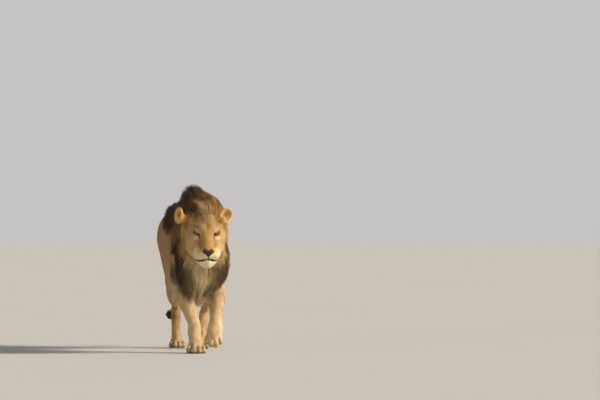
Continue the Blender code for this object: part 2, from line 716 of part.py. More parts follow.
# ---------------------------------------------------------------- colours
TAWNY = (0.52, 0.33, 0.15)
TAWNY_DARK = (0.36, 0.22, 0.11)
PALE = (0.66, 0.50, 0.31)
MANE = (0.10, 0.060, 0.032)
MANE_GOLD = (0.33, 0.19, 0.075)
BLACK = (0.016, 0.012, 0.010)
NOSE = (0.045, 0.028, 0.022)
AMBER = (0.48, 0.27, 0.035)

FINISH = {
    "head": (TAWNY, 0.72), "nose": (NOSE, 0.42), "ear": (TAWNY, 0.75), "eye": (AMBER, 0.12),
    "mane": (MANE_GOLD, 0.70), "neck": (MANE, 0.72), "chest": (TAWNY_DARK, 0.75),
    "belly": (TAWNY, 0.75), "hindquarters": (TAWNY, 0.75), "foreleg": (PALE, 0.75),
    "forepaw": (PALE, 0.75), "hindleg": (TAWNY, 0.75), "hindpaw": (PALE, 0.75),
    "tail": (TAWNY, 0.75), "tuft": (BLACK, 0.8),
}


def material(kind):
    name = "coat_" + kind
    mt = bpy.data.materials.get(name)
    if mt is None:
        colour, rough = FINISH[kind]
        mt = bpy.data.materials.new(name)
        mt.use_nodes = True
        b = mt.node_tree.nodes["Principled BSDF"]
        b.inputs["Base Color"].default_value = (*colour, 1.0)
        b.inputs["Roughness"].default_value = rough
        b.inputs["Metallic"].default_value = 0.0
    return mt


def place(name, mesh, kind):
    ob = add_object(name, mesh)
    mesh.name = name
    mesh.materials.clear()
    mesh.materials.append(material(kind))
    mesh.shade_smooth()
    mesh.set_sharp_from_angle(angle=radians(50))
    return ob


# ---------------------------------------------------------------- the cuts, in order
# name, kind, low corner, high corner, square to the head
CUTS = (
    ("nose", "nose", (-0.0415, 0.150, -0.1000), (0.0415, 0.300, -0.0505), True),
    ("head", "head", (-0.45, -0.150, -0.235), (0.45, 0.400, 0.400), True),
    ("mane_crest", "mane", (-0.50, -1.300, 1.004), (0.50, -0.060, 1.500), False),
    ("mane_breast", "mane", (-0.50, -1.300, 0.100), (0.50, -0.610, 0.500), False),
    ("neck", "neck", (-0.50, -1.300, 0.500), (0.50, -0.510, 1.010), False),
    ("forepaw_left", "forepaw", (0.0305, -0.900, -0.100), (0.40, -0.330, 0.158), False),
    ("forepaw_right", "forepaw", (-0.40, -0.900, -0.100), (0.0300, -0.330, 0.105), False),
    ("foreleg_left", "foreleg", (0.0270, -0.900, 0.100), (0.40, -0.330, 0.455), False),
    ("foreleg_right", "foreleg", (-0.40, -0.900, 0.100), (0.0265, -0.330, 0.455), False),
    ("hindpaw_left", "hindpaw", (-0.40, 0.100, -0.100), (0.40, 0.430, 0.092), False),
    ("hindpaw_right", "hindpaw", (-0.40, 0.430, -0.100), (0.40, 0.730, 0.092), False),
    ("hindleg_left", "hindleg", (0.0215, 0.100, 0.090), (0.40, 0.735, 0.470), False),
    ("hindleg_right", "hindleg", (-0.40, 0.100, 0.090), (0.0210, 0.735, 0.470), False),
    ("tail_tuft", "tuft", (-0.40, 0.735, -0.100), (0.40, 1.400, 0.292), False),
    ("tail_end", "tail", (-0.40, 0.735, 0.290), (0.40, 1.400, 0.560), False),
    ("tail_base", "tail", (-0.40, 0.735, 0.560), (0.40, 1.400, 1.100), False),
    ("chest", "chest", (-0.50, -0.900, 0.100), (0.50, -0.090, 1.500), False),
    ("belly", "belly", (-0.50, -0.100, 0.100), (0.50, 0.260, 1.500), False),
)
REACH_LO = (-0.36, -1.28, -0.06)
REACH_HI = (0.36, 1.16, 1.24)


def detail_weight(v):
    """Highest on the face, some on the paws, nothing on the flanks."""
    q = to_head(v)
    d = np.linalg.norm(q - np.array((0.0, 0.06, -0.06)), axis=1)
    w = np.clip((0.22 - d) / 0.10, 0.0, 1.0)
    low = np.clip((0.12 - v[:, 2]) / 0.05, 0.0, 1.0) * 0.04
    return np.maximum(w * 0.05, low * 0.5)


def main():
    clear_scene()
    coat = coat_form()
    verts, quads = net(coat, REACH_LO, REACH_HI, CELL)
    keep = detail_weight(verts)
    body = thinned(mesh_from("body", verts, quads), BODY_FACES, keep)
    body = tidy(flat_soles(body))

    # the ears, cut by the coat they stand in
    fat = add_object("fat", swollen(body, 0.0006))
    for s, side in ((-1, "right"), (1, "left")):
        v, q = net(ear_form(s), (-0.32, -1.15, 0.70), (0.32, -0.70, 1.15), EAR_CELL)
        cup = thinned(mesh_from("cup", v, q), EAR_FACES)
        place("ear_" + side, tidy(boolean(cup, fat, "DIFFERENCE")), "ear")
    drop(fat)

    # the eyes, each in a socket that clears it all round
    for s, side in ((-1, "right"), (1, "left")):
        c = hd(s * EYE_HALF, -EYE_BACK, 0.0)
        socket = add_object("socket", ball_mesh(EYE_R + GAP, c))
        body = tidy(boolean(body, socket, "DIFFERENCE"))
        drop(socket)
        place("eye_" + side, ball_mesh(EYE_R, c), "eye")

    rest = body
    for name, kind, lo, hi, head in CUTS:
        piece, rest = part_off(rest, lo, hi, head)
        place(name, piece, kind)
    place("hindquarters", rest, "hindquarters")

    # the origin is on the ground under the middle of the animal
    for ob in bpy.data.objects:
        ob.data.transform(Matrix.Translation((-MIDDLE[0], -MIDDLE[1], 0.0)))
        ob.data.update()


main()
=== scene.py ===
import bpy
import bmesh
import numpy as np
from math import cos, sin, radians, pi, atan
from mathutils import Vector, Matrix
from mathutils.kdtree import KDTree


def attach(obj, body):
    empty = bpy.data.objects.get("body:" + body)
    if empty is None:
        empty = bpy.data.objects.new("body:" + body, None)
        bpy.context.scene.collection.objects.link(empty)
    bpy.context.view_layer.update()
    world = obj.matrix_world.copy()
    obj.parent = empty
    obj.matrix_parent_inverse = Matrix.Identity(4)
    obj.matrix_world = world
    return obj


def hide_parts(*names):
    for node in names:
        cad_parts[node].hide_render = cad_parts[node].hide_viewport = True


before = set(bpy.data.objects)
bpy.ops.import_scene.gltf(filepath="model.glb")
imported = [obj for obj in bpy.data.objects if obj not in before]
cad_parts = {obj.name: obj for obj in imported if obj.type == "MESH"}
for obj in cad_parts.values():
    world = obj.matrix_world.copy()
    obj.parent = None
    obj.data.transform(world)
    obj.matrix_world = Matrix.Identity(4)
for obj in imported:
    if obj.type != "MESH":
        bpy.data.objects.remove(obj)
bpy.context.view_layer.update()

# The lion faces -Y, its left side is +X, the ground is z = 0.  Metres.
# The masses below are laid out about the animal's own axis; SHIFT brings
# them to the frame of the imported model.
SHIFT = np.array((0.003, 0.036, 0.0))
MIDDLE = (-0.003, -0.036)
RNG = np.random.default_rng(20)
# ---------------------------------------------------------------- measures
# The animal faces -Y, its left side is +X, the ground is z = 0.  Metres.
EYE_MID = (0.0, -1.000, 0.835)      # point midway between the two eyes
HEAD_PITCH = 25.0                   # the face looks this far below level, degrees
EYE_HALF = 0.0725                   # half the distance between the eyes
EYE_R = 0.0195                      # radius of an eyeball
EYE_BACK = 0.006                    # the eyeball's centre lies this far behind the eye plane
WITHERS_Z = 1.030
FLANK_HALF = 0.214                  # half the width of the trunk
CREST_TOP = 1.165                   # top of the standing mane
COAT = 0.008                        # depth of the short coat

# ---------------------------------------------------------------- fields
HP = radians(HEAD_PITCH)
E0 = np.array(EYE_MID)
AX = np.array((1.0, 0.0, 0.0))
AF = np.array((0.0, -cos(HP), -sin(HP)))
AU = np.array((0.0, -sin(HP), cos(HP)))
HEAD_AXES = np.stack((AX, AF, AU), axis=1)     # columns: side, forward, up


def hd(a, f, u):
    """A point of the head from its side, forward and up offsets."""
    return E0 + a * AX + f * AF + u * AU


def to_head(p):
    return (p - E0) @ HEAD_AXES


def smin(a, b, k):
    if k <= 0:
        return np.minimum(a, b)
    h = np.maximum(k - np.abs(a - b), 0.0) / k
    return np.minimum(a, b) - h * h * k * 0.25


def smax(a, b, k):
    return -smin(-a, -b, k)


def axes_of(direction, side=(1.0, 0.0, 0.0)):
    """Three unit axes: across, along the direction, and square to both."""
    y = np.array(direction, float)
    y /= np.linalg.norm(y)
    x = np.array(side, float)
    x -= y * np.dot(x, y)
    x /= np.linalg.norm(x)
    z = np.cross(x, y)
    return np.stack((x, y, z), axis=1)


class Form:
    """Rounded masses joined by a smooth minimum, as a distance to the surface."""

    def __init__(self):
        self.items = []

    def _add(self, fn, lo, hi, k, mode):
        self.items.append((fn, np.array(lo, float), np.array(hi, float), k, mode))

    def ball(self, c, r, axes=None, k=0.03, mode="add"):
        c = np.array(c, float)
        r = np.array(r, float)
        m = np.eye(3) if axes is None else axes
        ext = np.sqrt(((m * r) ** 2).sum(axis=1))

        def fn(p):
            q = (p - c) @ m
            k0 = np.sqrt(((q / r) ** 2).sum(axis=1)) + 1e-9
            k1 = np.sqrt(((q / (r * r)) ** 2).sum(axis=1)) + 1e-9
            return k0 * (k0 - 1.0) / k1

        self._add(fn, c - ext, c + ext, k, mode)

    def cone(self, a, b, ra, rb, k=0.03, side=(1.0, 0.0, 0.0), wide=1.0, mode="add"):
        """A rod from a to b; wide scales it along side."""
        a = np.array(a, float)
        b = np.array(b, float)
        s = np.array(side, float)
        d = b - a
        dn = d / (np.linalg.norm(d) + 1e-12)
        s = s - dn * np.dot(s, dn)
        s /= np.linalg.norm(s) + 1e-12
        l2 = float(np.dot(d, d))
        g = 1.0 / (wide * wide) - 1.0
        rm = max(ra, rb) * max(1.0, wide)

        def fn(p):
            q = p - a
            t = np.clip(q @ d / l2, 0.0, 1.0)
            q = q - t[:, None] * d
            e = q @ s
            r = ra + (rb - ra) * t
            dist = np.sqrt(np.maximum((q * q).sum(axis=1) + g * e * e, 0.0))
            return (dist - r) * min(1.0, wide)

        self._add(fn, np.minimum(a, b) - rm, np.maximum(a, b) + rm, k, mode)

    def limb(self, pts, k=0.02, side=(1.0, 0.0, 0.0), wide=1.0):
        for (a, ra), (b, rb) in zip(pts[:-1], pts[1:]):
            self.cone(a, b, ra, rb, k, side, wide)

    def barrel(self, rows, k=0.03, power=2.15):
        """A trunk through rows of y, top, bottom, half width, height of the widest line."""
        rows = np.array(rows, float)
        ys = rows[:, 0]
        yy = np.linspace(ys[0], ys[-1], 300)
        tab = np.stack([smooth_line(ys, rows[:, i], yy) for i in range(1, 5)], axis=1)
        lo = (-rows[:, 3].max(), ys[0], rows[:, 2].min())
        hi = (rows[:, 3].max(), ys[-1], rows[:, 1].max())
        n = power

        def fn(p):
            y = np.clip(p[:, 1], ys[0], ys[-1])
            top = np.interp(y, yy, tab[:, 0])
            bot = np.interp(y, yy, tab[:, 1])
            w = np.interp(y, yy, tab[:, 2])
            mid = bot + (top - bot) * np.interp(y, yy, tab[:, 3])
            x = np.abs(p[:, 0]) + 1e-6
            z = p[:, 2] - mid
            h = np.where(z > 0, top - mid, mid - bot)
            z = np.abs(z) + 1e-6
            k0 = ((x / w) ** n + (z / h) ** n) ** (1.0 / n)
            gx = k0 ** (1 - n) * x ** (n - 1) / w ** n
            gz = k0 ** (1 - n) * z ** (n - 1) / h ** n
            d = np.maximum((k0 - 1.0) / np.sqrt(gx * gx + gz * gz), -0.2)
            dy = np.abs(p[:, 1] - y)
            return np.where(dy > 0, np.sqrt(np.maximum(d, 0) ** 2 + dy ** 2), d)

        self._add(fn, lo, hi, k, "add")

    def __call__(self, p, pad=0.06):
        d = np.full(len(p), 1.0)
        order = np.argsort(p[:, 1], kind="stable")
        for part in np.array_split(order, max(1, len(p) // 3000)):
            if len(part) == 0:
                continue
            c = p[part]
            x, y, z = (np.ascontiguousarray(c[:, i]) for i in range(3))
            low, top = c.min(axis=0), c.max(axis=0)
            g = np.full(len(part), 1.0)
            for fn, lo, hi, k, mode in self.items:
                e = pad + max(k, 0)
                a, b = lo - e, hi + e
                if (a > top).any() or (b < low).any():
                    continue
                m = np.nonzero((x > a[0]) & (x < b[0]) & (y > a[1]) & (y < b[1]) & (z > a[2]) & (z < b[2]))[0]
                if len(m) == 0:
                    continue
                q = fn(c[m])
                g[m] = smin(g[m], q, k) if mode == "add" else smax(g[m], -q, k)
            d[part] = g
        return d


def smooth_line(xs, vs, x):
    """A smooth curve through the given stations."""
    xs = np.asarray(xs, float)
    vs = np.asarray(vs, float)
    m = np.gradient(vs, xs)
    i = np.clip(np.searchsorted(xs, x) - 1, 0, len(xs) - 2)
    h = xs[i + 1] - xs[i]
    t = (x - xs[i]) / h
    return ((2 * t ** 3 - 3 * t ** 2 + 1) * vs[i] + (t ** 3 - 2 * t ** 2 + t) * h * m[i]
            + (-2 * t ** 3 + 3 * t ** 2) * vs[i + 1] + (t ** 3 - t ** 2) * h * m[i + 1])


# ---------------------------------------------------------------- the animal
# Joints of the legs: where each one is in this stride.
FORE = {
    "right": dict(s=-1, blade=(-0.085, -0.430, 0.960), shoulder=(-0.130, -0.655, 0.665),
                  elbow=(-0.126, -0.490, 0.490), wrist=(-0.036, -0.575, 0.160),
                  ball=(-0.037, -0.630, 0.043), heading=(0.00, -1.0, 0.0), lifted=False),
    "left": dict(s=1, blade=(0.085, -0.440, 0.945), shoulder=(0.120, -0.665, 0.655),
                 elbow=(0.127, -0.500, 0.490), wrist=(0.108, -0.592, 0.182),
                 ball=(0.094, -0.604, 0.134), heading=(-0.05, -0.34, -0.94), lifted=True),
}
HIND = {
    "right": dict(s=-1, hip=(-0.095, 0.430, 0.800), knee=(-0.094, 0.335, 0.490),
                  hock=(-0.046, 0.655, 0.265), ball=(-0.044, 0.580, 0.038),
                  heading=(-0.05, -1.0, 0.0)),
    "left": dict(s=1, hip=(0.098, 0.430, 0.800), knee=(0.150, 0.220, 0.500),
                 hock=(0.138, 0.425, 0.245), ball=(0.088, 0.270, 0.038),
                 heading=(-0.04, -1.0, 0.0)),
}
TAIL = ((0.0, 0.660, 0.900), (0.0, 0.745, 0.840), (0.004, 0.800, 0.720), (0.0, 0.830, 0.580),
        (-0.008, 0.850, 0.430), (-0.022, 0.885, 0.305), (-0.040, 0.945, 0.238))
MIDDLE_XY = (-0.003, -0.036)
TUFT_END = (-0.058, 1.055, 0.222)


def mix(a, b, t):
    return tuple(np.array(a, float) * (1 - t) + np.array(b, float) * t)


def off(a, dx=0.0, dy=0.0, dz=0.0):
    return (a[0] + dx, a[1] + dy, a[2] + dz)


def paw(F, ball, heading, hind=False, lifted=False, k=0.014):
    """A paw: the body over the pads, and four toes in a fan."""
    m = axes_of(heading, (1.0, 0.0, 0.0))          # across, forward, up
    up = m[:, 2] if m[2, 2] > 0 or lifted else -m[:, 2]
    if lifted and up[1] > 0:
        up = -up
    m = np.stack((m[:, 0], m[:, 1], up), axis=1)
    g = 0.86 if hind else 1.0
    w = 0.84 if lifted else 0.94
    b = np.array(ball, float)

    def at(x, y, z):
        return b + m @ np.array((x * g * w, y * g, z * g))

    F.ball(at(0, -0.010, 0.000), (0.052 * g * w, 0.062 * g, 0.040 * g), m, k=0.03)
    F.ball(at(0, -0.016, -0.030), (0.040 * g, 0.042 * g, 0.022 * g), m, k=0.012)
    for x, y, turn in ((-0.051, 0.028, 0.28), (-0.018, 0.052, 0.08),
                       (0.018, 0.052, -0.08), (0.051, 0.028, -0.28)):
        c, s_ = cos(turn), sin(turn)
        mm = m @ np.array(((c, -s_, 0), (s_, c, 0), (0, 0, 1.0)))
        F.ball(at(x, y, -0.016), (0.0205 * g, 0.037 * g, 0.031 * g), mm, k=k)
        F.ball(at(x * 1.04, y + 0.020, -0.026), (0.0175 * g, 0.020 * g, 0.022 * g), mm, k=k)


def head_flesh(F):
    m = HEAD_AXES
    F.ball(hd(0, -0.112, 0.000), (0.098, 0.122, 0.086), m, k=0.03)            # skull
    F.ball(hd(0, -0.050, 0.016), (0.080, 0.085, 0.046), m, k=0.03)            # forehead
    F.ball(hd(0, -0.120, 0.052), (0.060, 0.085, 0.044), m, k=0.03)            # crown
    F.cone(hd(0, -0.020, 0.006), hd(0, 0.142, -0.082), 0.038, 0.030, 0.028, AX, 1.30)   # bridge
    F.ball(hd(0, 0.070, -0.096), (0.068, 0.100, 0.054), m, k=0.03)            # muzzle
    F.ball(hd(0, -0.020, -0.150), (0.066, 0.125, 0.052), m, k=0.03)           # under the jaw
    F.ball(hd(0, 0.112, -0.170), (0.044, 0.044, 0.041), m, k=0.016)           # chin
    for s in (-1, 1):
        F.ball(hd(s * 0.082, -0.055, -0.045), (0.053, 0.082, 0.052), m, k=0.03)    # cheek bone
        F.ball(hd(s * 0.070, -0.065, -0.105), (0.056, 0.085, 0.078), m, k=0.03)    # jaw muscle
        F.cone(hd(s * 0.026, 0.095, -0.170), hd(s * 0.066, -0.060, -0.140), 0.030, 0.046, 0.025)
        F.cone(hd(s * 0.024, 0.108, -0.160), hd(s * 0.050, 0.030, -0.172), 0.026, 0.032, 0.016)
        F.cone(hd(s * 0.003, 0.137, -0.147), hd(s * 0.032, 0.122, -0.157), 0.0175, 0.0175, 0.012)  # lower lip
        F.cone(hd(s * 0.032, 0.122, -0.157), hd(s * 0.055, 0.066, -0.176), 0.0175, 0.0185, 0.012)
        F.cone(hd(s * 0.060, 0.030, -0.070), hd(s * 0.056, 0.060, -0.108), 0.036, 0.036, 0.03)   # cheek
        F.cone(hd(s * 0.052, 0.075, -0.120), hd(s * 0.064, 0.010, -0.125), 0.036, 0.040, 0.03)   # lip corner
        F.ball(hd(s * 0.043, 0.118, -0.104), (0.0440, 0.052, 0.0360), k=0.010)     # whisker pad
        F.cone(hd(s * 0.036, -0.008, 0.036), hd(s * 0.090, -0.046, 0.030), 0.018, 0.020, 0.034)  # brow
        F.cone(hd(s * 0.040, 0.018, -0.030), hd(s * 0.100, -0.020, -0.030), 0.018, 0.020, 0.020)
    F.ball(hd(0, 0.156, -0.067), (0.0415, 0.026, 0.0175), m, k=0.010)         # nose
    F.ball(hd(0, 0.165, -0.083), (0.020, 0.015, 0.016), m, k=0.010)
    for s in (-1, 1):
        F.ball(hd(s * 0.0735, 0.022, 0.000), (0.0255, 0.022, 0.0160), m, k=0.012, mode="cut")


def ear(F, s, k=0.01):
    """One ear: a rounded cup on a short root, opening forward and outward."""
    turn = radians(68.0 if s < 0 else 16.0) * s
    lean = radians(10.0)
    fw = cos(turn) * AF + sin(turn) * AX
    fw = cos(lean) * fw + sin(lean) * AU
    side = np.cross(fw, AU)
    side /= np.linalg.norm(side)
    if side[0] * s < 0:
        side = -side
    up = np.cross(side, fw)
    if up @ AU < 0:
        up = -up
    tip = sin(radians(25.0)) * (AX * s) + cos(radians(25.0)) * up       # leans outward
    tip = tip - fw * (tip @ fw)
    tip /= np.linalg.norm(tip)
    across = np.cross(tip, fw)
    m = np.stack((across, fw, tip), axis=1)
    c = hd(s * (0.180 if s < 0 else 0.143), -0.150, 0.066)
    F.ball(c, (0.048, 0.021, 0.058 if s < 0 else 0.056), m, k=0.0)
    F.cone(c - 0.012 * tip, hd(s * 0.095, -0.135, 0.030), 0.032, 0.042, 0.02)
    F.ball(c + 0.016 * fw + 0.006 * tip, (0.036, 0.021, 0.045), m, k=0.008, mode="cut")


def legs_flesh(F):
    for key, L in FORE.items():
        s = L["s"]
        bl, sh, el, wr, ba = (L[n] for n in ("blade", "shoulder", "elbow", "wrist", "ball"))
        F.cone(off(bl, s * 0.02), off(sh, s * 0.005), 0.060, 0.088, 0.05, (1, 0, 0), 0.75)   # blade
        F.cone(off(bl, s * 0.075, 0.09, -0.12), off(el, s * 0.012, 0.012, 0.045), 0.095, 0.066, 0.05, (1, 0, 0), 0.72)
        F.cone(sh, off(el, -s * 0.004, 0.0, 0.035), 0.084, 0.070, 0.04, (1, 0, 0), 0.90)     # upper arm
        F.cone(off(el, 0, 0.020, 0.010), mix(el, wr, 0.40), 0.058, 0.060, 0.03, (1, 0, 0), 0.92)
        F.cone(mix(el, wr, 0.25), off(wr, 0, 0, 0.03), 0.065, 0.041, 0.03, (1, 0, 0), 1.06)
        F.cone(off(wr, 0, 0, 0.03), off(wr, 0, -0.004, -0.015), 0.041, 0.044, 0.02, (1, 0, 0), 1.12)
        F.cone(wr, off(ba, 0, 0.006, 0.012), 0.043, 0.040, 0.02, (1, 0, 0), 1.18)
        F.ball(off(wr, -s * 0.030, 0.022, 0.004), (0.016, 0.018, 0.024), k=0.012)            # dew claw pad
        paw(F, ba, L["heading"], lifted=L["lifted"])
    for key, L in HIND.items():
        s = L["s"]
        hip, kn, ho, ba = (L[n] for n in ("hip", "knee", "hock", "ball"))
        F.cone(off(hip, s * 0.020, -0.010, -0.02), off(kn, -s * 0.004, 0.03, 0.04), 0.150, 0.096, 0.05, (1, 0, 0), 0.62)
        F.cone(off(hip, s * 0.010, 0.120, -0.06), mix(kn, ho, 0.30), 0.130, 0.078, 0.05, (1, 0, 0), 0.62)
        F.cone(off(kn, -s * 0.01, 0.01, 0.02), off(kn, -s * 0.03, -0.10, 0.13), 0.055, 0.035, 0.06, (1, 0, 0), 0.60)   # flank fold
        F.cone(kn, mix(kn, ho, 0.55), 0.074, 0.058, 0.03, (1, 0, 0), 0.84)
        F.cone(mix(kn, ho, 0.40), off(ho, 0, 0, 0.02), 0.064, 0.035, 0.03, (1, 0, 0), 0.80)
        F.cone(off(ho, 0, 0.018, 0.020), off(mix(ho, ba, 0.15), 0, 0.012, 0.0), 0.028, 0.032, 0.02, (1, 0, 0), 0.95)
        F.cone(ho, off(ba, 0, 0.014, 0.016), 0.037, 0.037, 0.02, (1, 0, 0), 1.05)
        paw(F, ba, L["heading"], hind=True)


TRUNK = (
    # y, top, bottom, half width, widest line as a share of the height
    (-0.700, 0.850, 0.600, 0.100, 0.50),
    (-0.600, 0.930, 0.510, 0.150, 0.50),
    (-0.480, 0.985, 0.470, 0.180, 0.52),
    (-0.360, 1.000, 0.462, 0.196, 0.54),
    (-0.200, 0.988, 0.464, 0.208, 0.56),
    (0.000, 0.978, 0.470, 0.209, 0.56),
    (0.160, 0.980, 0.490, 0.207, 0.56),
    (0.320, 0.988, 0.530, 0.190, 0.56),
    (0.460, 0.985, 0.590, 0.165, 0.55),
    (0.580, 0.955, 0.650, 0.128, 0.55),
    (0.670, 0.905, 0.720, 0.080, 0.55),
)


def body_flesh(F):
    F.barrel(TRUNK, k=0.05)
    F.cone((0, -0.50, 0.800), (0, -0.720, 0.845), 0.165, 0.130, 0.06, (1, 0, 0), 0.90)     # neck
    F.cone((0, -0.700, 0.850), hd(0, -0.150, -0.030), 0.130, 0.100, 0.05, (1, 0, 0), 0.98)
    F.cone((0, -0.600, 0.690), (0, -0.690, 0.700), 0.130, 0.100, 0.06, (1, 0, 0), 1.0)     # breast
    for s in (-1, 1):
        F.ball((s * 0.085, 0.470, 0.885), (0.085, 0.150, 0.090), k=0.05)                   # hip
        F.ball((s * 0.070, 0.630, 0.800), (0.060, 0.080, 0.110), k=0.05)                   # buttock
    ts = np.linspace(0.0, len(TAIL) - 1.0, 22)
    row = [smooth_line(range(len(TAIL)), [p[i] for p in TAIL], ts) for i in range(3)]
    rad = smooth_line(range(len(TAIL)), (0.052, 0.040, 0.030, 0.0245, 0.021, 0.019, 0.018), ts)
    F.limb([((x, y, z), r) for x, y, z, r in zip(*row, rad)], k=0.003)


def mane_mass(F):
    """The outer shape of the long hair."""
    m = HEAD_AXES
    F.ball((-0.048, -0.690, 0.988), (0.098, 0.185, 0.176), k=0.08)            # crest
    F.ball((0.036, -0.690, 0.972), (0.100, 0.170, 0.132), k=0.07)
    F.ball((-0.010, -0.640, 0.930), (0.172, 0.270, 0.150), k=0.06)
    F.ball((-0.015, -0.400, 0.930), (0.180, 0.260, 0.135), k=0.07)            # over the withers
    F.ball((-0.122, -0.340, 0.930), (0.108, 0.200, 0.116), k=0.05)            # cape over the shoulders
    F.ball((0.090, -0.360, 0.915), (0.105, 0.190, 0.105), k=0.05)
    F.ball((-0.012, -0.700, 0.760), (0.170, 0.200, 0.260), k=0.06)            # sides of the neck
    F.ball((-0.010, -0.540, 0.740), (0.184, 0.200, 0.240), k=0.06)            # shoulders
    F.ball((-0.008, -0.770, 0.590), (0.158, 0.140, 0.160), k=0.06)            # breast
    F.cone((-0.014, -0.790, 0.520), (-0.022, -0.768, 0.392), 0.102, 0.054, 0.05)
    for s in (-1, 1):
        F.ball((s * 0.100 - 0.005, -0.700, 0.615), (0.085, 0.112, 0.150), k=0.05)         # over the shoulder points
    F.ball(hd(-0.010, -0.170, 0.090), (0.108, 0.085, 0.072), m, k=0.05)       # forelock
    F.ball(hd(0, -0.050, -0.215), (0.082, 0.105, 0.075), m, k=0.05)           # throat
    for s in (-1, 1):
        F.ball(hd(s * 0.104, -0.105, -0.035), (0.062, 0.058, 0.120), m, k=0.03)   # cheek ruff
        F.ball(hd(s * 0.066, -0.075, -0.175), (0.070, 0.075, 0.080), m, k=0.05)
    for L in FORE.values():
        e = L["elbow"]
        F.cone(off(e, 0, 0.045, 0.02), off(e, 0, 0.052, -0.060), 0.034, 0.010, 0.03)      # elbow hair


def tuft_mass(F):
    a = np.array(TAIL[-1])
    b = np.array(TUFT_END)
    F.cone(TAIL[-2], a, 0.017, 0.026, 0.02)
    F.cone(a, mix(a, b, 0.45), 0.028, 0.032, 0.02)
    F.cone(mix(a, b, 0.45), b, 0.032, 0.008, 0.02)


def flesh_form():
    F = Form()
    body_flesh(F)
    legs_flesh(F)
    head_flesh(F)
    return F


def coat_form():
    F = flesh_form()
    mane_mass(F)
    tuft_mass(F)
    return F


def ear_form(s):
    F = Form()
    ear(F, s)
    return F


# ---------------------------------------------------------------- surface from a field
def tidy_signs(v):
    """Closes the corners where two cells would touch at an edge only."""
    eps = 1e-5
    for _ in range(12):
        n = 0
        i = v < 0
        for ax in ((0, 1), (0, 2), (1, 2)):
            s = [slice(None)] * 3
            t = [slice(None)] * 3
            u = [slice(None)] * 3
            w = [slice(None)] * 3
            for q, (lo, hi) in ((s, (0, 0)), (t, (1, 1)), (u, (0, 1)), (w, (1, 0))):
                q[ax[0]] = slice(1, None) if lo else slice(None, -1)
                q[ax[1]] = slice(1, None) if hi else slice(None, -1)
            s, t, u, w = tuple(s), tuple(t), tuple(u), tuple(w)
            a = i[s] & i[t] & ~i[u] & ~i[w]
            b = ~i[s] & ~i[t] & i[u] & i[w]
            n += int(a.sum() + b.sum())
            vu = v[u]
            vu[a] = -eps
            vs = v[s]
            vs[b] = -eps
            i = v < 0
        c = [v[x:x - 1 or None, y:y - 1 or None, z:z - 1 or None] < 0
             for x in (0, 1) for y in (0, 1) for z in (0, 1)]
        tot = sum(q.astype(np.int8) for q in c)
        for p in range(4):
            bad = (c[p] & c[7 - p] & (tot == 2)) | (~c[p] & ~c[7 - p] & (tot == 6))
            if bad.any():
                n += int(bad.sum())
                for d in ((0, 0, 0), (0, 0, 1), (0, 1, 0)):
                    vv = v[d[0]:d[0] - 1 or None, d[1]:d[1] - 1 or None, d[2]:d[2] - 1 or None]
                    vv[bad & (vv > 0)] = -eps
        if n == 0:
            break
    return v


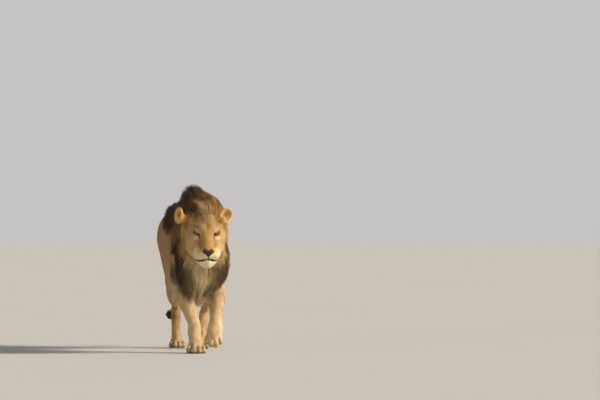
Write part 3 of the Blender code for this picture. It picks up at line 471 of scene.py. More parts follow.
def net(fn, lo, hi, h, project=3):
    """A closed quad surface at fn = 0, with cells of size h."""
    lo = np.array(lo, float)
    hi = np.array(hi, float)
    B = 4
    nb = np.ceil((hi - lo) / (h * B)).astype(int)
    cg = [lo[i] + (np.arange(nb[i]) + 0.5) * h * B for i in range(3)]
    cp = np.stack(np.meshgrid(*cg, indexing="ij"), axis=-1).reshape(-1, 3)
    cv = fn(cp)
    near = np.abs(cv) < h * B * 1.45
    shape = nb * B + 1
    full = np.repeat(np.repeat(np.repeat(cv.reshape(nb), B, 0), B, 1), B, 2)
    v = np.ones(shape)
    v[:-1, :-1, :-1] = np.where(full > 0, 1.0, -1.0)
    mark = np.zeros(shape, bool)
    nm = np.repeat(np.repeat(np.repeat(near.reshape(nb), B, 0), B, 1), B, 2)
    for x in (0, 1):
        for y in (0, 1):
            for z in (0, 1):
                mark[x:x - 1 or None, y:y - 1 or None, z:z - 1 or None] |= nm
    idx = np.nonzero(mark)
    pts = np.stack([lo[i] + idx[i] * h for i in range(3)], axis=1)
    v[idx] = fn(pts)
    v = tidy_signs(v)
    # one point in each cell that the surface crosses
    inside = v < 0
    s = np.zeros(np.array(v.shape) - 1, np.int8)
    for x in (0, 1):
        for y in (0, 1):
            for z in (0, 1):
                s += inside[x:x - 1 or None, y:y - 1 or None, z:z - 1 or None]
    cells = np.nonzero((s > 0) & (s < 8))
    num = -np.ones(s.shape, np.int64)
    num[cells] = np.arange(len(cells[0]))
    acc = np.zeros((len(cells[0]), 3))
    cnt = np.zeros(len(cells[0]))
    corner = [(x, y, z) for x in (0, 1) for y in (0, 1) for z in (0, 1)]
    val = {c: v[cells[0] + c[0], cells[1] + c[1], cells[2] + c[2]] for c in corner}
    for a in corner:
        for ax in range(3):
            if a[ax]:
                continue
            b = list(a)
            b[ax] = 1
            b = tuple(b)
            va, vb = val[a], val[b]
            m = (va < 0) != (vb < 0)
            t = np.where(m, va / np.where(m, va - vb, 1.0), 0.0)
            p = np.zeros((len(t), 3)) + np.array(a, float)
            p[:, ax] += t
            acc[m] += p[m]
            cnt[m] += 1
    verts = lo + (np.stack(cells, axis=1) + acc / cnt[:, None]) * h
    quads = []
    for ax in range(3):
        sl0 = [slice(1, -1)] * 3
        sl1 = [slice(1, -1)] * 3
        sl0[ax] = slice(0, -1)
        sl1[ax] = slice(1, None)
        a = inside[tuple(sl0)]
        b = inside[tuple(sl1)]
        for flip, m in ((False, a & ~b), (True, ~a & b)):
            i = np.nonzero(m)
            c = [q + (0 if k == ax else 1) for k, q in enumerate(i)]
            o = [k for k in range(3) if k != ax]

            def cell(d0, d1):
                q = list(c)
                q[o[0]] = q[o[0]] - d0
                q[o[1]] = q[o[1]] - d1
                return num[tuple(q)]
            f = np.stack((cell(1, 1), cell(0, 1), cell(0, 0), cell(1, 0)), axis=1)
            if (ax == 1) != flip:
                f = f[:, ::-1]
            quads.append(f)
    quads = np.concatenate(quads)
    for _ in range(project):
        verts = verts - step_to(fn, verts, h * 0.5)
    return verts, quads


def gradient(fn, p, e=0.001):
    g = np.empty_like(p)
    for i in range(3):
        d = np.zeros(3)
        d[i] = e
        g[:, i] = (fn(p + d) - fn(p - d)) / (2 * e)
    return g


def step_to(fn, p, most, e=0.0004):
    d = fn(p)
    g = np.stack([(fn(p + e * np.eye(3)[i]) - d) / e for i in range(3)], axis=1)
    g2 = (g * g).sum(axis=1) + 1e-6
    st = g * (d / g2)[:, None]
    ln = np.linalg.norm(st, axis=1) + 1e-12
    return st * np.minimum(1.0, most / ln)[:, None]
# ---------------------------------------------------------------- small tools
def ramp(x, a, b):
    t = np.clip((x - a) / (b - a), 0.0, 1.0)
    return t * t * (3 - 2 * t)


def bell(x, c, w):
    return np.exp(-((x - c) / w) ** 2)


def unit(v):
    return v / (np.linalg.norm(v, axis=-1, keepdims=True) + 1e-12)


def tint(r, g, b):
    """A colour from its screen values to the linear ones that shading needs."""
    c = np.array((r, g, b), float) / 255.0
    return np.where(c <= 0.04045, c / 12.92, ((c + 0.055) / 1.055) ** 2.4)


def noise(p, scale, seed=0):
    """Smooth noise from -1 to 1 at points p."""
    q = np.asarray(p) * scale + seed * 17.31
    i = np.floor(q).astype(np.int64)
    f = q - i
    f = f * f * (3 - 2 * f)
    out = 0.0
    for dx in (0, 1):
        for dy in (0, 1):
            for dz in (0, 1):
                n = ((i[:, 0] + dx) * 73856093) ^ ((i[:, 1] + dy) * 19349663) ^ ((i[:, 2] + dz) * 83492791) ^ (seed * 2654435)
                n = (n ^ (n >> 13)) * 1274126177 & 0x7FFFFFFF
                n = (n ^ (n >> 16)) & 0xFFFF
                w = (np.where(dx, f[:, 0], 1 - f[:, 0]) * np.where(dy, f[:, 1], 1 - f[:, 1])
                     * np.where(dz, f[:, 2], 1 - f[:, 2]))
                out = out + w * (n / 32767.5 - 1.0)
    return out


def noise3(p, scale, seed):
    return np.stack([noise(p, scale, seed + k) for k in range(3)], axis=1)


def blend(col, w, c):
    """Brings colours col towards c by weights w."""
    w = np.asarray(w)[:, None]
    return col * (1 - w) + np.asarray(c) * w


class Grid:
    """A field sampled on a lattice, for quick values and slopes."""

    def __init__(self, fn, lo, hi, h):
        self.lo = np.array(lo, float)
        self.h = h
        n = np.ceil((np.array(hi) - self.lo) / h).astype(int) + 1
        self.n = n
        ax = [self.lo[i] + np.arange(n[i]) * h for i in range(3)]
        p = np.stack(np.meshgrid(*ax, indexing="ij"), axis=-1).reshape(-1, 3)
        self.v = fn(p).reshape(n)
        g = np.gradient(self.v, h)
        self.t = np.stack([self.v] + list(g), axis=-1)

    def __call__(self, p):
        q = (p - self.lo) / self.h
        q = np.clip(q, 0, self.n - 1.001)
        i = q.astype(int)
        f = q - i
        out = 0.0
        for dx in (0, 1):
            for dy in (0, 1):
                for dz in (0, 1):
                    w = (np.where(dx, f[:, 0], 1 - f[:, 0]) * np.where(dy, f[:, 1], 1 - f[:, 1])
                         * np.where(dz, f[:, 2], 1 - f[:, 2]))
                    out = out + w[:, None] * self.t[i[:, 0] + dx, i[:, 1] + dy, i[:, 2] + dz]
        return out[:, 0], out[:, 1:]


# ---------------------------------------------------------------- the skin
FLESH = flesh_form()
COATED = coat_form()
EARS = {s: ear_form(s) for s in (-1, 1)}
EYE_C = {s: np.array((s * EYE_HALF, -EYE_BACK, 0.0)) for s in (-1, 1)}   # in the head's own axes
NOSE_W = hd(0, 0.160, -0.085)


def depth(p):
    """How far the skin lies under the tips of the short coat."""
    q = to_head(p)
    r = np.linalg.norm(q, axis=1)
    d = np.full(len(p), 0.0075)
    d = d + (0.0055 - d) * (1 - ramp(p[:, 2], 0.30, 0.50))
    d = d + (0.0030 - d) * (1 - ramp(p[:, 2], 0.07, 0.16))
    lifted = (1 - ramp(np.linalg.norm(p - np.array((0.094, -0.620, 0.10)), axis=1), 0.09, 0.14))
    d = d + (0.0030 - d) * lifted
    face = (1 - ramp(r, 0.24, 0.32)) * ramp(q[:, 1], -0.13, -0.03)
    d = d + (0.0032 - d) * face
    nose = 1 - ramp(np.linalg.norm((q - np.array((0, 0.168, -0.073))) / np.array((1.30, 1, 0.9)), axis=1), 0.026, 0.040)
    d = d + (0.0006 - d) * nose
    return d


def ruff(p):
    """The sides of the face, where the hair is half long and lies flat."""
    q = to_head(p)
    r = np.linalg.norm((q - np.array((0.0, -0.100, -0.075))) / np.array((1.0, 0.62, 0.92)), axis=1)
    return (1 - ramp(r, 0.150, 0.195)) * (1 - ramp(q[:, 2], 0.030, 0.060))


def apron(p):
    """The front of the shoulders and the tops of the forelegs, where the breast's hair hangs over short hair."""
    x, y, z = p[:, 0], p[:, 1], p[:, 2]
    end = np.interp(x, (-0.20, -0.114, -0.043, -0.02, 0.04, 0.125, 0.165), (0.560, 0.430, 0.380, 0.370, 0.440, 0.505, 0.560))
    end = end + 0.022 * noise(p, 24.0, 51)
    far = 0.565 - 0.9 * np.clip(-x - 0.08, 0, 0.12)
    return ramp(-y - far, -0.020, 0.020) * ramp(y, -0.84, -0.80) * ramp(z - end, -0.016, 0.012) * (1 - ramp(z, 0.58, 0.66))


def bed(p):
    """How far under the tips of the long hair the skin's thick bed lies."""
    q = to_head(p)
    front = ramp(q[:, 1], -0.24, -0.13) * (1 - ramp(np.linalg.norm(q, axis=1), 0.30, 0.40))
    d = 0.036 - 0.012 * front
    d = d + (0.013 - d) * ruff(p)
    d = d + (0.050 - d) * ramp(p[:, 2], 1.00, 1.08)
    d = d + (0.014 - d) * ramp(p[:, 1], 0.60, 0.75)
    return d


def capsule(q, a, b, r):
    a = np.array(a, float)
    b = np.array(b, float)
    d = b - a
    t = np.clip((q - a) @ d / (d @ d), 0, 1)
    return np.linalg.norm(q - a - t[:, None] * d, axis=1) - r


def oval(q, c, r):
    r = np.array(r, float)
    w = (q - np.array(c, float))
    k0 = np.sqrt(((w / r) ** 2).sum(axis=1)) + 1e-9
    k1 = np.sqrt(((w / (r * r)) ** 2).sum(axis=1)) + 1e-9
    return k0 * (k0 - 1) / k1


def lid_line(q, s):
    """Distance out of the almond between the lids, negative between them."""
    e = q - EYE_C[s]
    a = e[:, 0] * s
    u = e[:, 2] - 0.02 * a + 0.0002
    w = np.where(a > 0, 0.0178, 0.0195)
    t = np.clip(1 - (a / w) ** 2, -0.6, 1)
    top = 0.0112 * t
    low = -0.0084 * t - 0.0012 * ramp(-a, 0.006, 0.018)
    return np.maximum(np.maximum(u - top, low - u) * 0.86, np.abs(a) - w)


MOUTH_PLAN = ((0.000, 0.156, -0.1265), (0.012, 0.154, -0.1290), (0.024, 0.148, -0.1340), (0.038, 0.138, -0.1410),
              (0.050, 0.118, -0.1495), (0.060, 0.092, -0.1600), (0.066, 0.066, -0.1700), (0.070, 0.048, -0.1780))


def on_flesh(plan):
    """The plan's points in the head's axes, brought on to the skin along its own slope."""
    p = np.array([hd(*a) for a in plan])
    for _ in range(8):
        d = FLESH(p) + depth(p)
        g = np.stack([(FLESH(p + 0.001 * np.eye(3)[i]) - FLESH(p - 0.001 * np.eye(3)[i])) / 0.002 for i in range(3)], axis=1)
        g2 = (g * g).sum(axis=1) + 1e-6
        p = p - g * (d / g2)[:, None] * 0.8
    return [tuple(a) for a in to_head(p)]


MOUTH = on_flesh(MOUTH_PLAN)


def face_detail(d, p):
    q = to_head(p)
    m = np.nonzero((np.abs(q[:, 0]) < 0.13) & (q[:, 1] > -0.06) & (q[:, 1] < 0.22) & (np.abs(q[:, 2] + 0.06) < 0.17))[0]
    if len(m) == 0:
        return d
    q = q[m]
    e = d[m]
    for s in (-1, 1):
        c = EYE_C[s]
        r = np.linalg.norm(q - c, axis=1)
        o = lid_line(q, s)
        e = smin(e, r - 0.0226, 0.013)                                     # the lids' round
        # fold over the upper lid, and the pouch under the lower one
        e = smin(e, capsule(q, (s * 0.050, 0.006, 0.0190), (s * 0.095, -0.012, 0.0215), 0.0068), 0.013)
        e = smin(e, capsule(q, (s * 0.056, 0.0085, -0.0190), (s * 0.090, -0.007, -0.0165), 0.0035), 0.008)
        cut = smax(o, (c[1] + 0.002) - q[:, 1], 0.002)
        e = smax(e, -cut, 0.0025)
        e = np.minimum(e, r - 0.0178)
        # inner corner running down towards the nose
        e = smax(e, -capsule(q, (s * 0.0545, 0.012, -0.004), (s * 0.0485, 0.022, -0.014), 0.0022), 0.003)
        # nostril: a round hole with a slit running out and up
        e = smax(e, -oval(q, (s * 0.0205, 0.181, -0.0735), (0.0085, 0.0120, 0.0052)), 0.004)
        e = smax(e, -capsule(q, (s * 0.0270, 0.176, -0.0745), (s * 0.0440, 0.156, -0.0690), 0.0028), 0.004)
        # wing of the nostril
        e = smin(e, capsule(q, (s * 0.024, 0.168, -0.0590), (s * 0.039, 0.156, -0.0600), 0.0040), 0.006)
        # mouth line
        for a, b in zip(MOUTH[:-1], MOUTH[1:]):
            e = smax(e, -capsule(q, (s * a[0], a[1], a[2]), (s * b[0], b[1], b[2]), 0.0048), 0.003)
        # rows of whisker roots: low ridges
        for k in range(4):
            u0 = -0.082 - 0.0120 * k
            e = smin(e, capsule(q, (s * 0.030, 0.158, u0), (s * 0.070, 0.100, u0 - 0.018), 0.0030), 0.010)
    # the groove from the nose down to the lip
    e = smax(e, -capsule(q, (0, 0.182, -0.0930), (MOUTH[0][0], MOUTH[0][1] + 0.002, MOUTH[0][2]), 0.0028), 0.004)
    # furrow of the brow
    e = smax(e, -capsule(q, (0, 0.034, 0.036), (0, -0.020, 0.074), 0.0012), 0.014)
    d = d.copy()
    d[m] = e
    return d


def skin_field(p, detail=True):
    f = FLESH(p) + depth(p)
    c = COATED(p) + bed(p)
    d = smin(f, c, 0.024)
    q = to_head(p)
    m = np.nonzero((np.abs(q[:, 2] - 0.06) < 0.16) & (q[:, 1] < 0.02) & (q[:, 1] > -0.26) & (np.abs(q[:, 0]) < 0.26))[0]
    if len(m):
        e = d[m]
        for s in (-1, 1):
            e = smin(e, EARS[s](p[m]) + 0.0022, 0.012)
        d[m] = e
    if detail:
        d = face_detail(d, p)
    return np.maximum(d, 0.0008 - p[:, 2])


def lump_field(p):
    return skin_field(p, False)


def refine(verts, faces, mark, project):
    """Splits the marked faces in four, and the ones beside them to fit."""
    me = bpy.data.meshes.new("tmp")
    me.from_pydata(verts.tolist(), [], faces)
    bm = bmesh.new()
    bm.from_mesh(me)
    bpy.data.meshes.remove(me)
    bm.faces.ensure_lookup_table()
    co = np.array([f.calc_center_median()[:] for f in bm.faces])
    sel = mark(co)
    edges = set()
    for i in np.nonzero(sel)[0]:
        edges.update(bm.faces[i].edges)
    edges = sorted(edges, key=lambda e: e.index)
    old = len(bm.verts)
    bmesh.ops.subdivide_edges(bm, edges=edges, cuts=1, use_grid_fill=True)
    bm.verts.ensure_lookup_table()
    bm.verts.index_update()
    v = np.array([x.co[:] for x in bm.verts])
    f = [[x.index for x in face.verts] for face in bm.faces]
    bm.free()
    near = mark(v, 1.35)
    idx = np.nonzero(near)[0]
    h = project
    for k in range(3):
        v[idx] -= step_to(skin_field, v[idx], h)
    return v, f, idx


def relax(verts, faces, idx, times=2, h=0.002):
    """Evens the spacing of the points at idx, and keeps them on the skin."""
    e = np.array([(f[i], f[(i + 1) % len(f)]) for f in faces for i in range(len(f))])
    n = len(verts)
    on = np.zeros(n, bool)
    on[idx] = True
    e = e[on[e[:, 0]] | on[e[:, 1]]]
    for _ in range(times):
        acc = np.zeros((n, 3))
        cnt = np.zeros(n)
        for a, b in ((0, 1), (1, 0)):
            np.add.at(acc, e[:, a], verts[e[:, b]])
            np.add.at(cnt, e[:, a], 1)
        m = acc[idx] / cnt[idx][:, None]
        verts[idx] += 0.5 * (m - verts[idx])
        for k in range(2):
            verts[idx] -= step_to(skin_field, verts[idx], h)
    return verts


def around(points, radii):
    pts = np.array(points, float)
    rr = np.array(radii, float)

    def mark(p, grow=1.0):
        out = np.zeros(len(p), bool)
        for c, r in zip(pts, rr):
            out |= np.linalg.norm(p - c, axis=1) < r * grow
        return out
    return mark


def make_skin():
    lo = np.array((-0.30, -1.20, -0.03))
    hi = np.array((0.30, 1.12, 1.21))
    v, q = net(lump_field, lo, hi, 0.0115, project=2)
    f = q.tolist()
    paws = [FORE["right"]["ball"], FORE["left"]["ball"], HIND["right"]["ball"], HIND["left"]["ball"]]
    one = around([hd(0, 0.02, -0.04), hd(-0.185, -0.15, 0.07), hd(0.15, -0.15, 0.07)] + paws,
                 [0.190, 0.085, 0.085] + [0.115] * 4)
    v, f, i1 = refine(v, f, one, 0.004)
    two = around([hd(0, 0.060, -0.055), hd(0.07, 0, 0.0), hd(-0.07, 0, 0.0), hd(0, 0.10, -0.12),
                  hd(-0.185, -0.15, 0.075), hd(0.15, -0.15, 0.075)] + [off(p, 0, -0.03, -0.01) for p in paws],
                 [0.115, 0.060, 0.060, 0.085, 0.055, 0.055] + [0.062] * 4)
    v, f, i2 = refine(v, f, two, 0.003)
    v = relax(v, f, np.union1d(i1, i2) if len(v) == 0 else i2, 1, 0.002)
    three = around([hd(s * 0.0725, 0.012, 0.0) for s in (-1, 1)] + [hd(0, 0.175, -0.078)]
                   + [hd(s * 0.030, 0.165, -0.070) for s in (-1, 1)]
                   + [hd(s * a[0], a[1], a[2]) for s in (-1, 1) for a in MOUTH],
                   [0.027, 0.027, 0.030, 0.020, 0.020] + [0.0085] * (2 * len(MOUTH)))
    v, f, i3 = refine(v, f, three, 0.002)
    v = relax(v, f, i3, 3, 0.0012)
    return v, f


def mesh_of(name, verts, faces):
    """A mesh from arrays; faces is an array of triangles or a list."""
    me = bpy.data.meshes.new(name)
    verts = np.ascontiguousarray(verts, dtype=np.float32)
    if isinstance(faces, np.ndarray):
        me.vertices.add(len(verts))
        me.vertices.foreach_set("co", verts.ravel())
        k = faces.shape[1]
        me.loops.add(faces.size)
        me.loops.foreach_set("vertex_index", faces.astype(np.int32).ravel())
        me.polygons.add(len(faces))
        me.polygons.foreach_set("loop_start", (np.arange(len(faces)) * k).astype(np.int32))
        me.update(calc_edges=True)
    else:
        me.from_pydata(verts.tolist(), [], faces)
        me.update()
    me.polygons.foreach_set("use_smooth", np.ones(len(me.polygons), bool))
    ob = bpy.data.objects.new(name, me)
    bpy.context.scene.collection.objects.link(ob)
    return ob


def colour_points(me, name, col):
    a = me.color_attributes.new(name, "FLOAT_COLOR", "POINT")
    rgba = np.ones((len(col), 4), np.float32)
    rgba[:, :3] = np.clip(col, 0, 1)
    a.data.foreach_set("color", rgba.ravel())


# ---------------------------------------------------------------- markings
TAWNY = tint(170, 132, 84)
SAND = tint(208, 172, 120)
CREAM = tint(238, 220, 182)
WHITE = tint(242, 226, 192)
RUST = tint(178, 120, 70)
DARK = tint(50, 34, 20)
BLACK = tint(26, 18, 12)
BROWN = tint(92, 64, 38)
OLIVE = tint(84, 64, 38)
GOLD = tint(208, 158, 86)
STRAW = tint(220, 178, 112)
GREY = tint(128, 106, 74)


def tone(p):
    """The short coat's colour at p, the same on skin and tufts."""
    x, y, z = p[:, 0], p[:, 1], p[:, 2]
    q = to_head(p)
    a, f, u = np.abs(q[:, 0]), q[:, 1], q[:, 2]
    side = q[:, 0]
    n1 = noise(p, 9.0, 3)
    n2 = noise(p, 38.0, 5)
    col = np.tile(TAWNY, (len(p), 1))
    # back darker, flank plain, belly and inner legs paler
    col = blend(col, ramp(z, 0.86, 0.99) * 0.55, tint(150, 108, 64))
    col = blend(col, (1 - ramp(z, 0.46, 0.66)) * 0.55, SAND)
    under = (1 - ramp(z, 0.46, 0.54)) * (1 - ramp(np.abs(x), 0.07, 0.15)) * ramp(y, -0.55, -0.35) * (1 - ramp(y, 0.5, 0.6))
    col = blend(col, under * 0.7, CREAM)
    leg = 1 - ramp(z, 0.40, 0.56)
    front = ramp(-y, 0.40, 0.50) * leg
    col = blend(col, front * 0.55, tint(226, 194, 146))
    fr = ramp(-(y + 0.53), 0.0, 0.10) * leg
    col = blend(col, fr * 0.45, tint(240, 214, 170))
    hind = (1 - ramp(-y, -0.2, -0.1)) * leg
    col = blend(col, hind * 0.35, tint(206, 164, 110))
    # heels and wrists
    col = blend(col, bell(z, 0.235, 0.055) * ramp(y, 0.40, 0.47) * 0.55 * (1 - ramp(y, 0.74, 0.78)), tint(96, 68, 42))
    col = blend(col, (1 - ramp(z, 0.004, 0.020)) * 0.85, tint(62, 44, 32))
    col = blend(col, bell(z, 0.030, 0.035) * 0.30, tint(170, 132, 88))
    # Painted shade: the gaps between the toes of the planted paws are darkened where shade falls between them.
    for L in [FORE["right"]] + list(HIND.values()):
        b = np.array(L["ball"])
        w = p - b
        near = (1 - ramp(np.abs(w[:, 0]), 0.045, 0.06)) * (1 - ramp(w[:, 1], -0.02, 0.0)) * (1 - ramp(np.linalg.norm(w, axis=1), 0.055, 0.075)) * (1 - ramp(w[:, 2], 0.0, 0.02))
        gap = np.zeros(len(p))
        for gx in (-0.0235, 0.0, 0.0235):
            gap = np.maximum(gap, bell(w[:, 0] - gx, 0.0, 0.0042))
        col = blend(col, near * gap * 0.60, tint(104, 76, 50))
    # tail
    tail = ramp(y, 0.71, 0.77)
    col = blend(col, tail * 0.5, tint(176, 130, 80))
    col = blend(col, ramp(y, 0.86, 0.90) * (1 - ramp(z, 0.30, 0.36)), BLACK)
    # head
    near = 1 - ramp(np.linalg.norm(q, axis=1), 0.26, 0.34)
    head = near * ramp(f, -0.17, -0.11)
    col = blend(col, head * 0.9, tint(204, 165, 106))
    top = head * ramp(u, 0.015, 0.05)
    col = blend(col, top * 0.75, tint(178, 144, 92))
    mott = ramp(noise(q, 62.0, 21) + 0.5 * noise(q, 130.0, 22), 0.10, 0.75)
    col = blend(col, top * mott * 0.45, tint(116, 86, 50))
    col = blend(col, head * bell(a, 0.0, 0.010) * ramp(u, 0.0, 0.03) * 0.40, tint(128, 92, 54))
    col = blend(col, head * bell(a, 0.045, 0.016) * bell(u, 0.055, 0.025) * 0.25, tint(232, 200, 146))
    flank = head * bell(a, 0.052, 0.016) * ramp(f, 0.02, 0.06) * (1 - ramp(f, 0.11, 0.14)) * bell(u, -0.052, 0.022)
    col = blend(col, flank * 0.55, tint(132, 92, 52))
    br = head * (1 - ramp(a, 0.026, 0.046)) * ramp(f, 0.00, 0.04) * ramp(u, -0.100, -0.060)
    col = blend(col, br * 0.65, tint(200, 152, 84))
    tip = head * (1 - ramp(a, 0.030, 0.044)) * ramp(f, 0.10, 0.14) * ramp(u, -0.066, -0.052)
    col = blend(col, tip * 0.5, tint(176, 124, 70))
    # lids, tear line and the pale patches round the eye
    for s in (-1, 1):
        e = np.linalg.norm((q - np.array((s * 0.073, 0.012, -0.0255))) / np.array((1.35, 1.6, 0.85)), axis=1)
        col = blend(col, (1 - ramp(e, 0.006, 0.022)) * 0.85, tint(244, 222, 176))
        e = np.linalg.norm((q - np.array((s * 0.072, 0.006, 0.0270))) / np.array((1.6, 1.6, 0.60)), axis=1)
        col = blend(col, (1 - ramp(e, 0.008, 0.022)) * 0.30, tint(222, 190, 136))
        tear = capsule(q, (s * 0.0530, 0.014, -0.006), (s * 0.0420, 0.046, -0.036), 0.0)
        col = blend(col, (1 - ramp(tear, 0.0030, 0.0095)) * 0.88, tint(44, 28, 17))
        tear = capsule(q, (s * 0.0400, 0.050, -0.040), (s * 0.0370, 0.090, -0.062), 0.0)
        col = blend(col, (1 - ramp(tear, 0.004, 0.014)) * 0.40, tint(96, 62, 34))
        o = lid_line(q, s)
        r = np.linalg.norm(q - EYE_C[s], axis=1)
        rim = (1 - ramp(o, 0.0008, 0.0036)) * (1 - ramp(r, 0.026, 0.032))
        col = blend(col, rim * ramp(f, -0.03, -0.01), tint(26, 16, 10))
        # mouth corner
        e = np.linalg.norm((q - np.array((s * 0.0620, 0.060, -0.1700))) / np.array((1.0, 1.6, 0.75)), axis=1)
        col = blend(col, (1 - ramp(e, 0.007, 0.017)) * 0.9, tint(34, 22, 15))
    # muzzle and chin
    gap = -0.119 - 0.48 * (0.165 - f)                  # height of the mouth line at this depth
    pad = head * ramp(f, 0.050, 0.095) * (1 - ramp(u, -0.086, -0.056)) * ramp(u - gap, -0.006, 0.002)
    col = blend(col, pad * 0.95, tint(240, 216, 170))
    low = head * ramp(f, 0.00, 0.06) * (1 - ramp(u - gap, -0.008, 0.0))
    col = blend(col, low * 0.9, WHITE)
    jaw = head * (1 - ramp(u, -0.15, -0.10)) * (1 - ramp(f, 0.02, 0.07))
    col = blend(col, jaw * 0.5, tint(232, 204, 156))
    for s in (-1, 1):
        for k in range(4):
            u0 = -0.082 - 0.0120 * k
            for j in range(5):
                c = np.array((s * (0.034 + 0.0085 * j), 0.160 - 0.0125 * j, u0 - 0.0045 * j))
                e = np.linalg.norm((q - c) / np.array((1, 2.2, 1)), axis=1)
                col = blend(col, (1 - ramp(e, 0.0008, 0.0028)) * 0.75 * (f > 0.08), tint(74, 50, 32))
        path = [(s * m[0], m[1], m[2]) for m in MOUTH]
        for m0, m1 in zip(path[:-1], path[1:]):
            e = capsule(q, m0, m1, 0.0)
            col = blend(col, (1 - ramp(e, 0.0052, 0.0082)) * (f > 0.03), tint(26, 16, 12))
    e = capsule(q, (0, 0.182, -0.0930), (MOUTH[0][0], MOUTH[0][1], MOUTH[0][2]), 0.0)
    col = blend(col, (1 - ramp(e, 0.0034, 0.0060)) * (f > 0.1), tint(48, 32, 24))
    # ears: gold inside, rust behind with a dark patch
    for s in (-1, 1):
        c = np.array((s * (0.180 if s < 0 else 0.143), -0.150, 0.066))
        d = np.linalg.norm((q - c), axis=1)
        w = 1 - ramp(d, 0.064, 0.080)
        turn = radians(68.0 if s < 0 else 16.0) * s
        t = (q - c) @ np.array((sin(turn) * cos(radians(10.0)), cos(turn) * cos(radians(10.0)), sin(radians(10.0))))
        inside = ramp(t, -0.0085, -0.0040)
        col = blend(col, w * 0.95, tint(216, 158, 84))
        col = blend(col, w * inside * 0.90, tint(230, 180, 104))
        # Painted shade: the middle of the ear's cup, deep in its hollow, is darkened.
        col = blend(col, w * inside * (1 - ramp(d, 0.012, 0.036)) * 0.62, tint(142, 98, 56))
        low_ = w * inside * (1 - ramp(q[:, 2] - c[2], -0.030, -0.005)) * ramp(noise(p, 120.0, 23), -0.3, 0.4)
        col = blend(col, low_ * 0.6, tint(248, 222, 168))
        col = blend(col, w * (1 - inside) * (1 - ramp(d, 0.030, 0.046)) * 0.75, tint(70, 48, 30))
    n3 = noise(p, 95.0, 8)
    leg2 = 1 - ramp(z, 0.40, 0.56)
    streaks = noise(p * np.array((1, 1, 0.30)), 85.0, 14)
    var = 1 + 0.10 * n1 + (0.08 + 0.05 * head + 0.09 * leg2) * n2 + 0.07 * head * n3 + (0.05 + 0.15 * leg2) * streaks
    col = col * (1 - 0.10 * leg2)[:, None]
    return np.clip(col * var[:, None], 0, 1)


